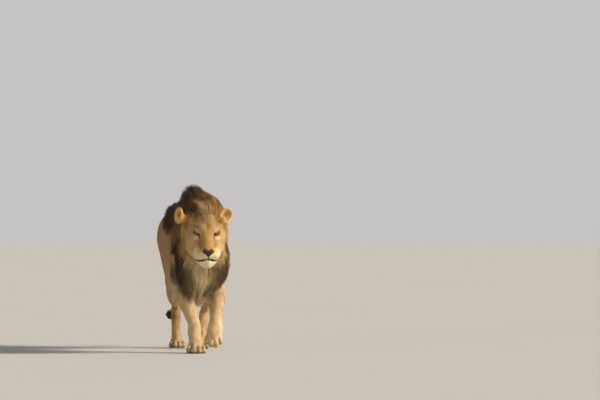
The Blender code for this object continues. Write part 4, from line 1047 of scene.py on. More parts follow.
def long_tone(root, t, rnd):
    """Colour of the long hair from its root's place, the share t along it and a number of its own."""
    x, y, z = root[:, 0], root[:, 1], root[:, 2]
    q = to_head(root)
    a, f, u = q[:, 0], q[:, 1], q[:, 2]
    aa = np.abs(a)
    n1 = noise(root, 16.0, 11)
    n2 = noise(root * np.array((1, 1, 0.35)), 48.0, 12)
    n = 0.6 * n1 + 0.5 * n2 + 0.7 * (rnd - 0.5)
    col = np.tile(BROWN, (len(root), 1))
    # sides of the neck: the flank's brown above; low down the dark mane is near black on the right, the side away from
    # the light, partly its own colour and partly painted shade, and olive brown on the left
    col = blend(col, ramp(z, 0.76, 0.84) * 0.9, tint(132, 98, 60))
    cut0 = x - 0.105 * y                                # a plane that slants across the neck
    low = 1 - ramp(z, 0.76, 0.84)
    col = blend(col, low * (x < 0) * 0.96, BLACK)
    col = blend(col, low * (x >= 0) * 0.90, OLIVE * 0.62)
    # withers and cape: very dark along the top
    cape = ramp(y, -0.64, -0.52) * ramp(z, 0.86, 0.95)
    col = blend(col, cape * 0.92, tint(40, 28, 18))
    edge = ramp(y, -0.36, -0.18) * ramp(z, 0.74, 0.84)
    col = blend(col, edge * 0.60, tint(128, 92, 54))
    cut = cut0 + 0.016 * n
    crest = ramp(z, 0.92, 0.97) * (1 - ramp(y, -0.56, -0.46))
    col = blend(col, crest * 0.95, DARK * 0.85)
    # Partly painted light: the crest stays dark on its right half, away from the light, and turns gold on its left
    # half, towards the light; the gold hair is partly its own colour.
    gold = crest * ramp(cut, 0.050 + 0.020 * ramp(z, 1.04, 1.12), 0.100)
    col = blend(col, gold * 0.95, blend(np.tile(GOLD * 0.50, (len(root), 1)), ramp(n, -0.5, 0.3), GOLD))
    right = crest * ramp(cut, 0.165, 0.215)
    col = blend(col, right * 0.55, OLIVE)
    strand = ramp(0.9 * noise(root * np.array((1, 0.5, 0.35)), 70.0, 15) + 0.8 * (rnd - 0.5), -0.25, 0.45)
    col = blend(col, crest * (1 - gold) * strand * 0.42, tint(150, 108, 58))
    col = blend(col, crest * gold * (1 - strand) * 0.72, tint(70, 46, 24))
    col = blend(col, crest * ramp(z, 1.06, 1.11) * (1 - 0.6 * strand) * 0.66, tint(58, 40, 22))
    streak = crest * bell(cut, 0.122 - 0.80 * (z - 0.95), 0.024) * ramp(-y, 0.62, 0.74) * (1 - ramp(z, 0.99, 1.03))
    col = blend(col, np.clip(streak * 1.7, 0, 0.97) * (0.55 + 0.45 * strand), tint(246, 212, 148))
    # the half-long hair of the cheeks: their own colour, painted darker on the right, the side away from the light, as
    # painted shade, with a painted rim of light in gold at its outer edge on that side
    ring = ruff(root)
    wide = np.linalg.norm(np.stack((a, (u + 0.06) * 0.8), axis=1), axis=1)
    ring = np.maximum(ring, ramp(f, -0.185, -0.125) * (1 - crest) * ramp(z, 0.60, 0.68) * (1 - ramp(wide, 0.158, 0.178)))
    ring = ring * np.where(x < 0, ramp(cut0 - (-0.083 + 0.28 * (0.726 - z)), -0.004, 0.012), 1.0)
    ring = ring * np.where(x > 0, 1 - ramp(cut0 - (0.236 - 0.47 * (0.674 - z)), -0.012, 0.004), 1.0)
    col = blend(col, ring * (x < 0) * 0.97, blend(np.tile(tint(190, 146, 90), (len(root), 1)), ramp(aa, 0.125, 0.160), tint(220, 164, 96)))
    col = blend(col, ring * (x >= 0) * 0.97, tint(218, 176, 108))
    # beard and breast
    mid = bell(x + 0.012, 0.0, 0.070)
    beard = ramp(-y, 0.72, 0.80) * (1 - ramp(z, 0.66, 0.72)) * mid * (0.55 + 0.45 * ramp(n, -0.4, 0.2))
    col = blend(col, np.clip(beard * 1.25, 0, 0.95), tint(234, 212, 164))
    fringe = (1 - ramp(z, 0.47, 0.59)) * ramp(-y, 0.44, 0.54)
    mixed = blend(np.tile(GREY * 0.52, (len(root), 1)), ramp(n + 0.6 * mid + 0.4 * (rnd - 0.5), -0.1, 0.6), tint(212, 184, 134))
    col = col * (1 - (fringe * 0.80)[:, None]) + mixed * (fringe * 0.80)[:, None]
    # elbow and belly hair
    eb = (1 - ramp(z, 0.50, 0.56)) * ramp(y, -0.60, -0.50)
    col = blend(col, eb * 0.9, tint(172, 132, 84))
    # tail end
    col = blend(col, ramp(y, 0.70, 0.80), BLACK)
    light = (1 + 0.30 * n)[:, None]
    col = col * light
    tipc = col * 0.75 + 0.25 * np.array(tint(200, 150, 86)) * (0.4 + col.sum(axis=1, keepdims=True))
    w = (t * (0.55 * (1 - ramp(y, 0.70, 0.80)))) [:, None]
    return np.clip(col * (0.80 + 0.20 * t)[:, None] * (1 - w) + tipc * w, 0.002, 0.95)


# ---------------------------------------------------------------- lie of the coat
TS = np.linspace(0.0, len(TAIL) - 1.0, 150)
TAIL_P = np.stack([smooth_line(range(len(TAIL)), [p[i] for p in TAIL], TS) for i in range(3)], axis=1)
TAIL_P = np.concatenate((TAIL_P, np.array([mix(TAIL[-1], TUFT_END, t) for t in (0.25, 0.5, 0.75, 1.0)])))
TAIL_D = unit(np.gradient(TAIL_P, axis=0))


def lie(p, long=None):
    """Direction in which the hair at p lies, before it is laid on the surface."""
    x, y, z = p[:, 0], p[:, 1], p[:, 2]
    q = to_head(p)
    s = np.sign(x)
    d = np.stack((0.05 * s, np.ones(len(p)), -0.30 - 0.35 * ramp(0.95 - z, 0.0, 0.3)), axis=1)
    leg = (1 - ramp(z, 0.44, 0.66))[:, None] * (1 - ramp(np.abs(y + 0.05), 0.28, 0.40) * 0)[:, None]
    trunk = (ramp(y, -0.40, -0.30) * (1 - ramp(y, 0.14, 0.24)) * ramp(z, 0.40, 0.46))[:, None]
    leg = leg * (1 - trunk)
    d = d * (1 - leg) + np.array((0.0, 0.16, -1.0)) * leg
    foot = (1 - ramp(z, 0.05, 0.10))[:, None]
    d = d * (1 - foot) + np.array((0.0, -0.9, -0.45)) * foot
    tail = ramp(y, 0.70, 0.745)[:, None]
    along = np.tile(TAIL_D[0], (len(p), 1))
    back = np.nonzero(y > 0.69)[0]
    for c in np.array_split(back, len(back) // 4000 + 1):
        if len(c):
            along[c] = TAIL_D[np.argmin(((p[c][:, None, :] - TAIL_P[None]) ** 2).sum(axis=2), axis=1)]
    d = d * (1 - tail) + along * tail
    # head: away from the nose leather
    r = unit(p - NOSE_W)
    near = (1 - ramp(np.linalg.norm(q, axis=1), 0.20, 0.30))[:, None]
    d = unit(d) * (1 - near) + r * near
    if long is None:
        return unit(d)
    # long hair
    top = ramp(z, 0.90, 1.00)[:, None]
    m = np.stack((0.22 * s, 0.42 + 0.3 * ramp(z, 0.6, 0.9), np.full(len(p), -0.95)), axis=1)
    over = np.array((-0.10, 0.95, 0.12))
    m = m * (1 - top) + over * top
    crest = (ramp(z, 0.94, 1.02) * (1 - ramp(y, -0.62, -0.50)))[:, None]
    up = np.stack((-0.46 + 0.7 * x, np.full(len(p), 0.50), np.full(len(p), 0.66)), axis=1)
    m = m * (1 - crest) + up * crest
    breast = (ramp(-y, 0.62, 0.74) * (1 - ramp(z, 0.66, 0.80)))[:, None]
    down = np.stack((-0.4 * x, np.full(len(p), 0.04), np.full(len(p), -1.0)), axis=1)
    m = m * (1 - breast) + down * breast
    ring = ((1 - ramp(np.linalg.norm(q, axis=1), 0.24, 0.34)) * (1 - crest[:, 0] * 0.6))[:, None]
    rr = r + np.array((0.0, 0.25, -0.55)) * (1 - top)
    m = m * (1 - ring) + rr * ring
    end = ramp(y, 0.70, 0.78)[:, None]
    m = m * (1 - end) + along * end
    belly = (ramp(y, -0.45, -0.35) * (1 - ramp(z, 0.50, 0.56)) * (1 - end[:, 0]))[:, None]
    m = m * (1 - belly) + np.array((0.0, 0.45, -0.85)) * belly
    return unit(m)


# ---------------------------------------------------------------- hair as solid mesh
def scatter(V, T, density):
    """Places on the triangles T at the given number per square metre; gives triangle and weights."""
    e1 = V[T[:, 1]] - V[T[:, 0]]
    e2 = V[T[:, 2]] - V[T[:, 0]]
    area = 0.5 * np.linalg.norm(np.cross(e1, e2), axis=1)
    want = area * density
    n = np.floor(want + RNG.random(len(want))).astype(int)
    i = np.repeat(np.arange(len(T)), n)
    r = RNG.random((len(i), 2))
    flip = r.sum(axis=1) > 1
    r[flip] = 1 - r[flip]
    return i, np.stack((1 - r.sum(axis=1), r[:, 0], r[:, 1]), axis=1)


def tube_mesh(name, P, W, side, flat, col, uv, normals=None, keep=0.0):
    """Closed tapered locks. P: locks x stations x 3, the last station the tip. W: half widths."""
    N, K = P.shape[0], P.shape[1]
    R = K - 1
    t = np.empty_like(P)
    t[:, 1:-1] = P[:, 2:] - P[:, :-2]
    t[:, 0] = P[:, 1] - P[:, 0]
    t[:, -1] = P[:, -1] - P[:, -2]
    t = unit(t)
    s = side[:, None, :] - t * (t * side[:, None, :]).sum(axis=2, keepdims=True)
    s = unit(s)
    b = np.cross(t, s)
    V = np.empty((N, 3 * R + 1, 3))
    for k in range(3):
        an = pi / 2 + 2 * pi * k / 3
        V[:, k:3 * R:3] = P[:, :R] + (s[:, :R] * cos(an) * 1.15 + b[:, :R] * sin(an) * flat) * W[:, :R, None]
    V[:, -1] = P[:, -1]
    V[:, :, 2] = np.maximum(V[:, :, 2], 0.0004)          # none reaches through the ground
    F = [(0, 2, 1)]
    for j in range(R - 1):
        for k in range(3):
            a0, a1 = 3 * j + k, 3 * j + (k + 1) % 3
            b0, b1 = a0 + 3, a1 + 3
            F.append((a0, a1, b1))
            F.append((a0, b1, b0))
    e = 3 * (R - 1)
    for k in range(3):
        F.append((e + k, e + (k + 1) % 3, 3 * R))
    F = np.array(F)
    nv = 3 * R + 1
    faces = (F[None] + (np.arange(N) * nv)[:, None, None]).reshape(-1, 3)
    ob = mesh_of(name, V.reshape(-1, 3) + SHIFT, faces)
    C = np.empty((N, nv, 3))
    for j in range(R):
        C[:, 3 * j:3 * j + 3] = col[:, j, None, :]
    C[:, -1] = col[:, R]
    colour_points(ob.data, "tone", C.reshape(-1, 3))
    # each lock is a patch of its own in the map
    along = np.repeat(np.arange(R) / R, 3) * 0.85 + np.tile((0.0, 0.10, 0.02), R)
    across = np.tile((0.0, 0.5, 1.0), R)
    px = np.append(along, 1.0) - 0.5
    py = np.append(across, 0.45) - 0.5
    lo, hi = uv.min(axis=0), uv.max(axis=0)
    m = 0.006 + (uv - lo) / (hi - lo) * 0.988
    U = m[:, None, :] + 0.003 * np.stack((px, py), axis=1)[None]
    U = U.reshape(-1, 2)
    layer = ob.data.uv_layers.new(name="OFBake")
    layer.data.foreach_set("uv", U[faces.ravel()].astype(np.float32).ravel())
    if normals is not None:
        ob.data.update()
        own = np.empty(len(ob.data.vertices) * 3, np.float32)
        ob.data.vertices.foreach_get("normal", own)
        own = own.reshape(N, nv, 3)
        nn = unit(own * (1 - keep) + normals[:, None, :] * keep)
        ob.data.normals_split_custom_set_from_vertices(nn.reshape(-1, 3).astype(np.float32))
    return ob


# ---------------------------------------------------------------- materials
class Nodes:
    def __init__(self, name):
        self.m = bpy.data.materials.new(name)
        self.m.use_nodes = True
        self.t = self.m.node_tree
        self.b = self.t.nodes["Principled BSDF"]

    def add(self, kind, **kw):
        n = self.t.nodes.new(kind)
        for k, v in kw.items():
            if hasattr(n, k):
                setattr(n, k, v)
            else:
                n.inputs[k.replace("_", " ")].default_value = v
        return n

    def link(self, a, b):
        self.t.links.new(a, b)

    def mul(self, a, b, fac=1.0):
        n = self.add("ShaderNodeMix", data_type="RGBA", blend_type="MULTIPLY")
        n.inputs[0].default_value = fac
        self.link(a, n.inputs[6])
        self.link(b, n.inputs[7])
        return n.outputs[2]


def hair_material(name, rough, bump, fine, vary, sheen=0.0):
    """Hair or hide: the painted markings, varied by fine noise, with a fine bump."""
    N = Nodes(name)
    at = N.add("ShaderNodeAttribute", attribute_name="tone")
    co = N.add("ShaderNodeTexCoord")
    nz = N.add("ShaderNodeTexNoise", noise_dimensions="3D")
    nz.inputs["Scale"].default_value = fine
    nz.inputs["Detail"].default_value = 4.0
    nz.inputs["Roughness"].default_value = 0.6
    N.link(co.outputs["Object"], nz.inputs["Vector"])
    cr = N.add("ShaderNodeValToRGB")
    cr.color_ramp.elements[0].position = 0.28
    cr.color_ramp.elements[1].position = 0.72
    lo, hi = 1.0 - vary, 1.0
    cr.color_ramp.elements[0].color = (lo * 0.98, lo * 0.95, lo * 0.90, 1)
    cr.color_ramp.elements[1].color = (hi, hi, hi, 1)
    N.link(nz.outputs["Fac"], cr.inputs["Fac"])
    N.link(N.mul(at.outputs["Color"], cr.outputs["Color"]), N.b.inputs["Base Color"])
    N.b.inputs["Roughness"].default_value = rough
    N.b.inputs["Specular IOR Level"].default_value = 0.28
    N.b.inputs["Sheen Weight"].default_value = sheen
    N.b.inputs["Sheen Roughness"].default_value = 0.45
    N.b.inputs["Sheen Tint"].default_value = (1.0, 0.86, 0.66, 1)
    bp = N.add("ShaderNodeBump")
    bp.inputs["Strength"].default_value = bump
    bp.inputs["Distance"].default_value = 0.002
    nb = N.add("ShaderNodeTexNoise", noise_dimensions="3D")
    nb.inputs["Scale"].default_value = fine * 2.2
    nb.inputs["Detail"].default_value = 3.0
    N.link(co.outputs["Object"], nb.inputs["Vector"])
    N.link(nb.outputs["Fac"], bp.inputs["Height"])
    N.link(bp.outputs["Normal"], N.b.inputs["Normal"])
    return N.m


def skin_material():
    """Hide with the nap of short hair; bare leather on the nose, told apart by its own attribute."""
    m = hair_material("hide", 0.82, 0.55, 260.0, 0.22, 0.12)
    t = m.node_tree
    b = t.nodes["Principled BSDF"]
    at = t.nodes.new("ShaderNodeAttribute")
    at.attribute_name = "wet"
    mr = t.nodes.new("ShaderNodeMapRange")
    mr.inputs["To Min"].default_value = 0.82
    mr.inputs["To Max"].default_value = 0.36
    t.links.new(at.outputs["Fac"], mr.inputs["Value"])
    t.links.new(mr.outputs["Result"], b.inputs["Roughness"])
    return m


def eye_material():
    """Amber iris with fibres round a round pupil, in the eyeball's own axes (its Z looks out)."""
    N = Nodes("eye")
    co = N.add("ShaderNodeTexCoord")
    at = N.add("ShaderNodeAttribute", attribute_name="disc")     # x, y across the iris, radius in z
    sp = N.add("ShaderNodeSeparateXYZ")
    N.link(at.outputs["Vector"], sp.inputs[0])
    ramp_ = N.add("ShaderNodeValToRGB")
    e = ramp_.color_ramp.elements
    e[0].position, e[0].color = 0.0, (0.002, 0.002, 0.002, 1)
    e[1].position, e[1].color = 1.0, (0.050, 0.026, 0.012, 1)
    for pos, c in ((0.265, (0.002, 0.002, 0.002, 1)), (0.300, (0.30, 0.15, 0.022, 1)),
                   (0.400, (0.62, 0.36, 0.055, 1)), (0.560, (0.56, 0.30, 0.045, 1)),
                   (0.640, (0.24, 0.11, 0.020, 1)), (0.700, (0.020, 0.010, 0.006, 1)),
                   (0.800, (0.030, 0.016, 0.010, 1))):
        x = e.new(pos)
        x.color = c
    N.link(sp.outputs["Z"], ramp_.inputs["Fac"])
    nz = N.add("ShaderNodeTexNoise", noise_dimensions="3D")
    nz.inputs["Scale"].default_value = 9.0
    nz.inputs["Detail"].default_value = 3.0
    st = N.add("ShaderNodeAttribute", attribute_name="spoke")
    N.link(st.outputs["Vector"], nz.inputs["Vector"])
    cr = N.add("ShaderNodeValToRGB")
    cr.color_ramp.elements[0].position = 0.35
    cr.color_ramp.elements[0].color = (0.45, 0.42, 0.40, 1)
    cr.color_ramp.elements[1].position = 0.65
    N.link(nz.outputs["Fac"], cr.inputs["Fac"])
    N.link(N.mul(ramp_.outputs["Color"], cr.outputs["Color"], 0.8), N.b.inputs["Base Color"])
    N.b.inputs["Roughness"].default_value = 0.18
    N.b.inputs["Specular IOR Level"].default_value = 0.15
    N.b.inputs["Coat Weight"].default_value = 0.55
    N.b.inputs["Coat Roughness"].default_value = 0.03
    return N.m


def plain_material(name, col, rough, scale, vary):
    N = Nodes(name)
    co = N.add("ShaderNodeTexCoord")
    nz = N.add("ShaderNodeTexNoise", noise_dimensions="3D")
    nz.inputs["Scale"].default_value = scale
    N.link(co.outputs["Object"], nz.inputs["Vector"])
    cr = N.add("ShaderNodeValToRGB")
    cr.color_ramp.elements[0].color = tuple(np.array(col) * (1 - vary)) + (1,)
    cr.color_ramp.elements[1].color = tuple(col) + (1,)
    N.link(nz.outputs["Fac"], cr.inputs["Fac"])
    N.link(cr.outputs["Color"], N.b.inputs["Base Color"])
    N.b.inputs["Roughness"].default_value = rough
    return N.m


# ---------------------------------------------------------------- building
V, F = make_skin()
skin = mesh_of("skin", V + SHIFT, F)
TRI = []
for f_ in F:
    for i_ in range(1, len(f_) - 1):
        TRI.append((f_[0], f_[i_], f_[i_ + 1]))
TRI = np.array(TRI)
NV = len(V)
fn = np.cross(V[TRI[:, 1]] - V[TRI[:, 0]], V[TRI[:, 2]] - V[TRI[:, 0]])
VN = np.zeros((NV, 3))
for k in range(3):
    np.add.at(VN, TRI[:, k], fn)
VN = unit(VN)

GRID_C = Grid(COATED, (-0.30, -1.22, -0.05), (0.30, 1.14, 1.24), 0.012)
GRID_F = Grid(FLESH, (-0.30, -1.22, -0.05), (0.30, 1.14, 1.24), 0.012)
thick = FLESH(V) - COATED(V)                 # depth of long hair above the flesh, at each point
thick = np.maximum(thick, 0.0)
hem = np.interp(V[:, 2], (0.30, 0.52, 0.70, 0.76, 0.81, 0.87, 1.20), (-0.56, -0.575, -0.585, -0.53, -0.40, -0.02, 0.02))
hem = 1 - ramp(V[:, 1] - hem + 0.012 * noise(V, 24.0, 52), -0.012, 0.022)
tail_end_ = ramp(V[:, 1], 0.60, 0.70)
MANE = np.maximum(ramp(thick, 0.008, 0.022) * np.maximum(hem, tail_end_), apron(V))
ear_far = np.minimum(EARS[-1](V), EARS[1](V))
on_ear = 1 - ramp(ear_far, -0.001, 0.005)
MANE = MANE * (1 - on_ear)
in_face = (1 - ramp(np.linalg.norm(to_head(V), axis=1), 0.24, 0.30)) * ramp(to_head(V)[:, 1], -0.10, -0.05)
# How deep each point lies in a hollow or crease; it drives the painted shade below.
CAV = np.clip(1 - skin_field(V + VN * 0.006) / 0.006, 0, 1)      # hollows and creases

root_long = long_tone(V, np.zeros(NV), np.full(NV, 0.5)) * 0.55
hide = tone(V)
edge_ = (ramp(thick, 0.012, 0.040) * MANE)[:, None]
hide = hide * (1 - edge_) + root_long * edge_
QH = to_head(V)
lu = QH[:, 2] + 0.0500                               # below the top edge of the leather
lw = 0.0410 * np.clip(1 - (np.maximum(-lu - 0.008, 0) / 0.034) ** 1.3, 0, 1)      # half width, closing to a point
leather = (1 - ramp(np.abs(QH[:, 0]) - lw, -0.0010, 0.0012)) * (1 - ramp(lu - 0.0030 * (np.abs(QH[:, 0]) / 0.03) ** 2, -0.0015, 0.0010))
leather *= (QH[:, 1] > 0.138) * (lu > -0.046)
hide = blend(hide, leather, tint(60, 42, 35))
# Painted shade: the creases of the nose leather, round the nostrils, are darkened.
hide = blend(hide, leather * ramp(CAV, 0.15, 0.5) * 0.8, tint(20, 13, 11))
ear_near = np.zeros(NV)
for s in (-1, 1):
    ear_near = np.maximum(ear_near, 1 - ramp(np.linalg.norm(QH - np.array((s * (0.180 if s < 0 else 0.143), -0.150, 0.066)), axis=1), 0.07, 0.09))
above = ramp(QH[:, 2], 0.010, 0.016) * in_face
# Painted shade: hollows and creases of the skin are darkened, less above the eyes, and not under the long hair or on
# the ears.
hide = blend(hide, ramp(CAV, 0.30, 0.75) * 0.60 * (1 - MANE) * (1 - ear_near) * (1 - 0.85 * above), tint(44, 30, 20))
colour_points(skin.data, "tone", hide)
wet = skin.data.attributes.new("wet", "FLOAT", "POINT")
wet.data.foreach_set("value", leather.astype(np.float32))
skin.data.materials.append(skin_material())
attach(skin, "root")
FLESH_NODES = [n for n in ("belly", "chest", "ear_left", "ear_right", "foreleg_left", "foreleg_right",
                           "forepaw_left", "forepaw_right", "head", "hindleg_left", "hindleg_right",
                           "hindpaw_left", "hindpaw_right", "hindquarters", "neck", "nose", "tail_base",
                           "tail_end")]
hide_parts(*FLESH_NODES)

# an unwrap of the skin's own shape, for the places of the tufts in their map
lay = skin.data.copy()
probe = bpy.data.objects.new("probe", lay)
bpy.context.scene.collection.objects.link(probe)
bpy.context.view_layer.objects.active = probe
for o_ in bpy.context.selected_objects:
    o_.select_set(False)
probe.select_set(True)
bpy.ops.object.mode_set(mode="EDIT")
bpy.ops.mesh.select_all(action="SELECT")
bpy.ops.uv.smart_project(angle_limit=radians(66), island_margin=0.002, area_weight=0.0, scale_to_bounds=True)
bpy.ops.object.mode_set(mode="OBJECT")
loops = np.empty(len(lay.loops) * 2, np.float32)
lay.uv_layers.active.data.foreach_get("uv", loops)
loops = loops.reshape(-1, 2).astype(float)
start = np.empty(len(lay.polygons), np.int32)
lay.polygons.foreach_get("loop_start", start)
bpy.data.objects.remove(probe)
bpy.data.meshes.remove(lay)
TUV = []
for n_, f_ in enumerate(F):
    s_ = int(start[n_])
    for i_ in range(1, len(f_) - 1):
        TUV.append((s_, s_ + i_, s_ + i_ + 1))
TUV = loops[np.array(TUV)]                     # triangles x corners x 2


def roots(density):
    """Roots by a density at each skin point: place, outward direction, map place, depth of the long hair."""
    dt = density[TRI].mean(axis=1)
    i, w = scatter(V, TRI, dt)
    P = (V[TRI[i]] * w[:, :, None]).sum(axis=1)
    N = unit((VN[TRI[i]] * w[:, :, None]).sum(axis=1))
    U = (TUV[i] * w[:, :, None]).sum(axis=1)
    M = (thick[TRI[i]] * w).sum(axis=1)
    return P, N, U, M


def tangent(d, n):
    return unit(d - n * (d * n).sum(axis=1, keepdims=True))


# ---- short coat: small tufts lying along the body
eye_gap = np.ones(NV)
for s in (-1, 1):
    o = lid_line(QH, s)
    r = np.linalg.norm(QH - EYE_C[s], axis=1)
    eye_gap *= 1 - (1 - ramp(o, 0.0014, 0.0030)) * (r < 0.030)
bare = np.clip(leather * 3, 0, 1)
mouth_gap = np.ones(NV)
for s in (-1, 1):
    path = [(s * m[0], m[1], m[2]) for m in MOUTH]
    for m0, m1 in zip(path[:-1], path[1:]):
        mouth_gap *= ramp(capsule(QH, m0, (m1[0], m1[1], m1[2]), 0.0), 0.0050, 0.0065)
        mouth_gap *= ramp(capsule(QH, (m0[0], m0[1], m0[2] + 0.005), (m1[0], m1[1], m1[2] + 0.005), 0.0), 0.0060, 0.0080)
sole = ramp(V[:, 2], 0.002, 0.006)
FACE_W = in_face * (1 - MANE)
EAR_W = np.zeros(NV)
for s in (-1, 1):
    c = np.array((s * (0.180 if s < 0 else 0.143), -0.150, 0.066))
    EAR_W = np.maximum(EAR_W, 1 - ramp(np.linalg.norm(QH - c, axis=1), 0.062, 0.075))
open_ = eye_gap * (1 - bare) * mouth_gap * sole
PAW_W = 1 - ramp(V[:, 2], 0.10, 0.20)


def short_coat(name, density, length, width, lift, stations=3, keep=0.6, curl=0.10, want=None):
    P, N, U, M = roots(density)
    if want is not None:
        k = want(P)
        P, N, U, M = P[k], N[k], U[k], M[k]
    n = len(P)
    L = length(P) * (0.75 + 0.5 * RNG.random(n))
    W = width(P) * (0.75 + 0.5 * RNG.random(n))
    A = lift(P) * (0.6 + 0.9 * RNG.random(n))
    d = lie(P) + 0.16 * noise3(P, 30.0, 40) + 0.12 * RNG.normal(size=(n, 3))
    t = tangent(d, N)
    side = np.cross(N, t)
    t = unit(t + side * (curl * noise(P, 60.0, 9))[:, None])
    root = P - N * 0.0012
    mid = P + t * (0.50 * L)[:, None] + N * (A * L * 0.75 + 0.0004)[:, None]
    tip = P + t * L[:, None] + N * (A * L + 0.0004)[:, None]
    if stations == 2:
        path = np.stack((root, tip), axis=1)
        wid = W[:, None]
    else:
        path = np.stack((root, mid, tip), axis=1)
        wid = np.stack((W, W * 0.80), axis=1)
    base = tone(P)
    shade = (0.90 + 0.20 * RNG.random(n))[:, None]
    c0 = base * shade * 0.93
    c1 = np.clip(base * shade * 1.06, 0, 1)
    col = np.stack((c0, c1) if stations == 2 else (c0, (c0 + c1) / 2, c1), axis=1)
    most = int(195000 / (4 if stations == 2 else 10))
    order = np.argsort(P[:, 1], kind="stable")
    for i, idx in enumerate(np.array_split(order, max(1, int(np.ceil(n / most))))):
        ob = tube_mesh(f"{name}_{i + 1}", path[idx], wid[idx], side[idx], 0.40, col[idx], U[idx], N[idx], keep)
        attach(ob, "root")
        ob.data.materials.append(COAT_M)


COAT_M = hair_material("short_coat", 0.66, 0.25, 180.0, 0.14, 0.10)
LONG_M = hair_material("long_hair", 0.50, 0.20, 120.0, 0.16, 0.05)

area_all = None
EAR_W = np.maximum(EAR_W * on_ear, 0.0)
body_d = (1 - MANE) * open_ * (1 - FACE_W) * (1 - EAR_W)


def body_len(p):
    z = p[:, 2]
    L = np.full(len(p), 0.021)
    L = L + (0.015 - L) * (1 - ramp(z, 0.25, 0.50))
    L = L + (0.010 - L) * (1 - ramp(z, 0.05, 0.14))
    near = 1 - ramp(np.linalg.norm(p - np.array((0.094, -0.62, 0.10)), axis=1), 0.09, 0.14)
    return L + (0.010 - L) * near


def body_wid(p):
    return 0.0009 + 0.030 * (body_len(p) - 0.010)


def body_lift(p):
    return 0.070 + 0.05 * ramp(noise(p, 5.0, 77), 0.2, 0.7)


dens = body_d * (31000 + 16000 * (1 - ramp(V[:, 2], 0.30, 0.55)) + 40000 * (1 - ramp(V[:, 2], 0.05, 0.16)))
short_coat("coat_body", dens, body_len, body_wid, body_lift, 2, 0.80, 0.10)
face_d = (1 - MANE) * open_ * FACE_W * (1 - EAR_W)


def face_len(p):
    q = to_head(p)
    back = 1 - ramp(q[:, 1], -0.10, 0.06)
    low = (1 - ramp(q[:, 2], -0.16, -0.10)) * (1 - ramp(q[:, 1], 0.03, 0.09))
    return 0.0062 + 0.012 * np.maximum(back, 0.7 * low)


short_coat("coat_face", face_d * 230000, face_len, lambda p: 0.00050 + 0.018 * (face_len(p) - 0.006),
           lambda p: np.full(len(p), 0.13), 2, 0.72)
short_coat("coat_ears", (1 - MANE * 0.6) * EAR_W * 250000, lambda p: np.full(len(p), 0.0105),
           lambda p: np.full(len(p), 0.00055), lambda p: np.full(len(p), 0.12), 2, 0.75)


# ---- long hair
def grow(P, N, L, rise, stand, wave, steps):
    """Paths of long hair from roots P: along the lie, kept to a layer under the outer shape."""
    n = len(P)
    pts = [P - N * 0.003]
    p = P.copy()
    c0, _ = GRID_C(p)
    ds = (L / steps)[:, None]
    d = unit(lie(p, True) * 0.62 + N * 0.9)
    for k in range(1, steps + 1):
        t = k / steps
        c, g = GRID_C(p)
        g = unit(g)
        want = lie(p, True) + wave * noise3(p, 11.0, 60) + 0.6 * wave * noise3(p, 26.0, 70)
        out = np.clip((want * g).sum(axis=1), -1, 1)
        soft = ramp(out, 0.35, 0.85)[:, None]          # hair that leaves the shape at its edge
        flat = unit(want - g * (want * g).sum(axis=1, keepdims=True) * (1 - soft))
        ease = 1 - (1 - t) ** 2
        aim = c0 + (rise - c0) * ease + stand * t ** 2
        turn = np.clip((aim - c)[:, None] / ds, -0.9, 1.1) * (1 - 0.8 * soft)
        d = unit(0.45 * d + 0.75 * flat + 0.85 * turn * g)
        p = p + d * ds
        f, gf = GRID_F(p)
        p = p + unit(gf) * np.maximum(0.004 - f, 0)[:, None]
        pts.append(p)
    return np.stack(pts, axis=1)


def trim(paths, limit):
    """Shortens each path where it leaves the outer shape by more than limit."""
    n, k = paths.shape[:2]
    c = GRID_C(paths.reshape(-1, 3))[0].reshape(n, k)
    over = c > limit[:, None]
    first = np.where(over.any(axis=1), over.argmax(axis=1), k - 1)
    share = np.where(over.any(axis=1), np.maximum(first - 0.5, 1.0) / (k - 1), 1.0)
    s = share[:, None] * np.linspace(0, 1, k)[None] * (k - 1)
    i = np.minimum(s.astype(int), k - 2)
    f = (s - i)[:, :, None]
    r = np.arange(n)[:, None]
    return paths[r, i] * (1 - f) + paths[r, i + 1] * f, share


def long_len(p):
    x, y, z = p[:, 0], p[:, 1], p[:, 2]
    q = to_head(p)
    f = q[:, 1]
    L = np.full(len(p), 0.125)
    L = L + (0.100 - L) * ramp(z, 0.94, 1.02)
    L = L + (0.120 - L) * ramp(y, -0.50, -0.35)
    L = L + (0.145 - L) * (1 - ramp(z, 0.52, 0.66)) * ramp(-y, 0.60, 0.70)
    ring = ramp(f, -0.20, -0.12) * (1 - ramp(np.linalg.norm(q, axis=1), 0.24, 0.34)) * (1 - ramp(q[:, 2], 0.03, 0.07))
    L = L + (0.085 - L) * ring
    L = L + (0.046 - L) * ruff(p)
    L = L + (0.070 - L) * ramp(y, 0.70, 0.80)
    ap = apron(p) * (1 - ramp(z, 0.50, 0.56))
    L = L + (0.075 - L) * ap
    eb = (1 - ramp(z, 0.50, 0.56)) * ramp(y, -0.56, -0.46) * (1 - ramp(y, 0.3, 0.5))
    L = L + (0.055 - L) * eb
    return L


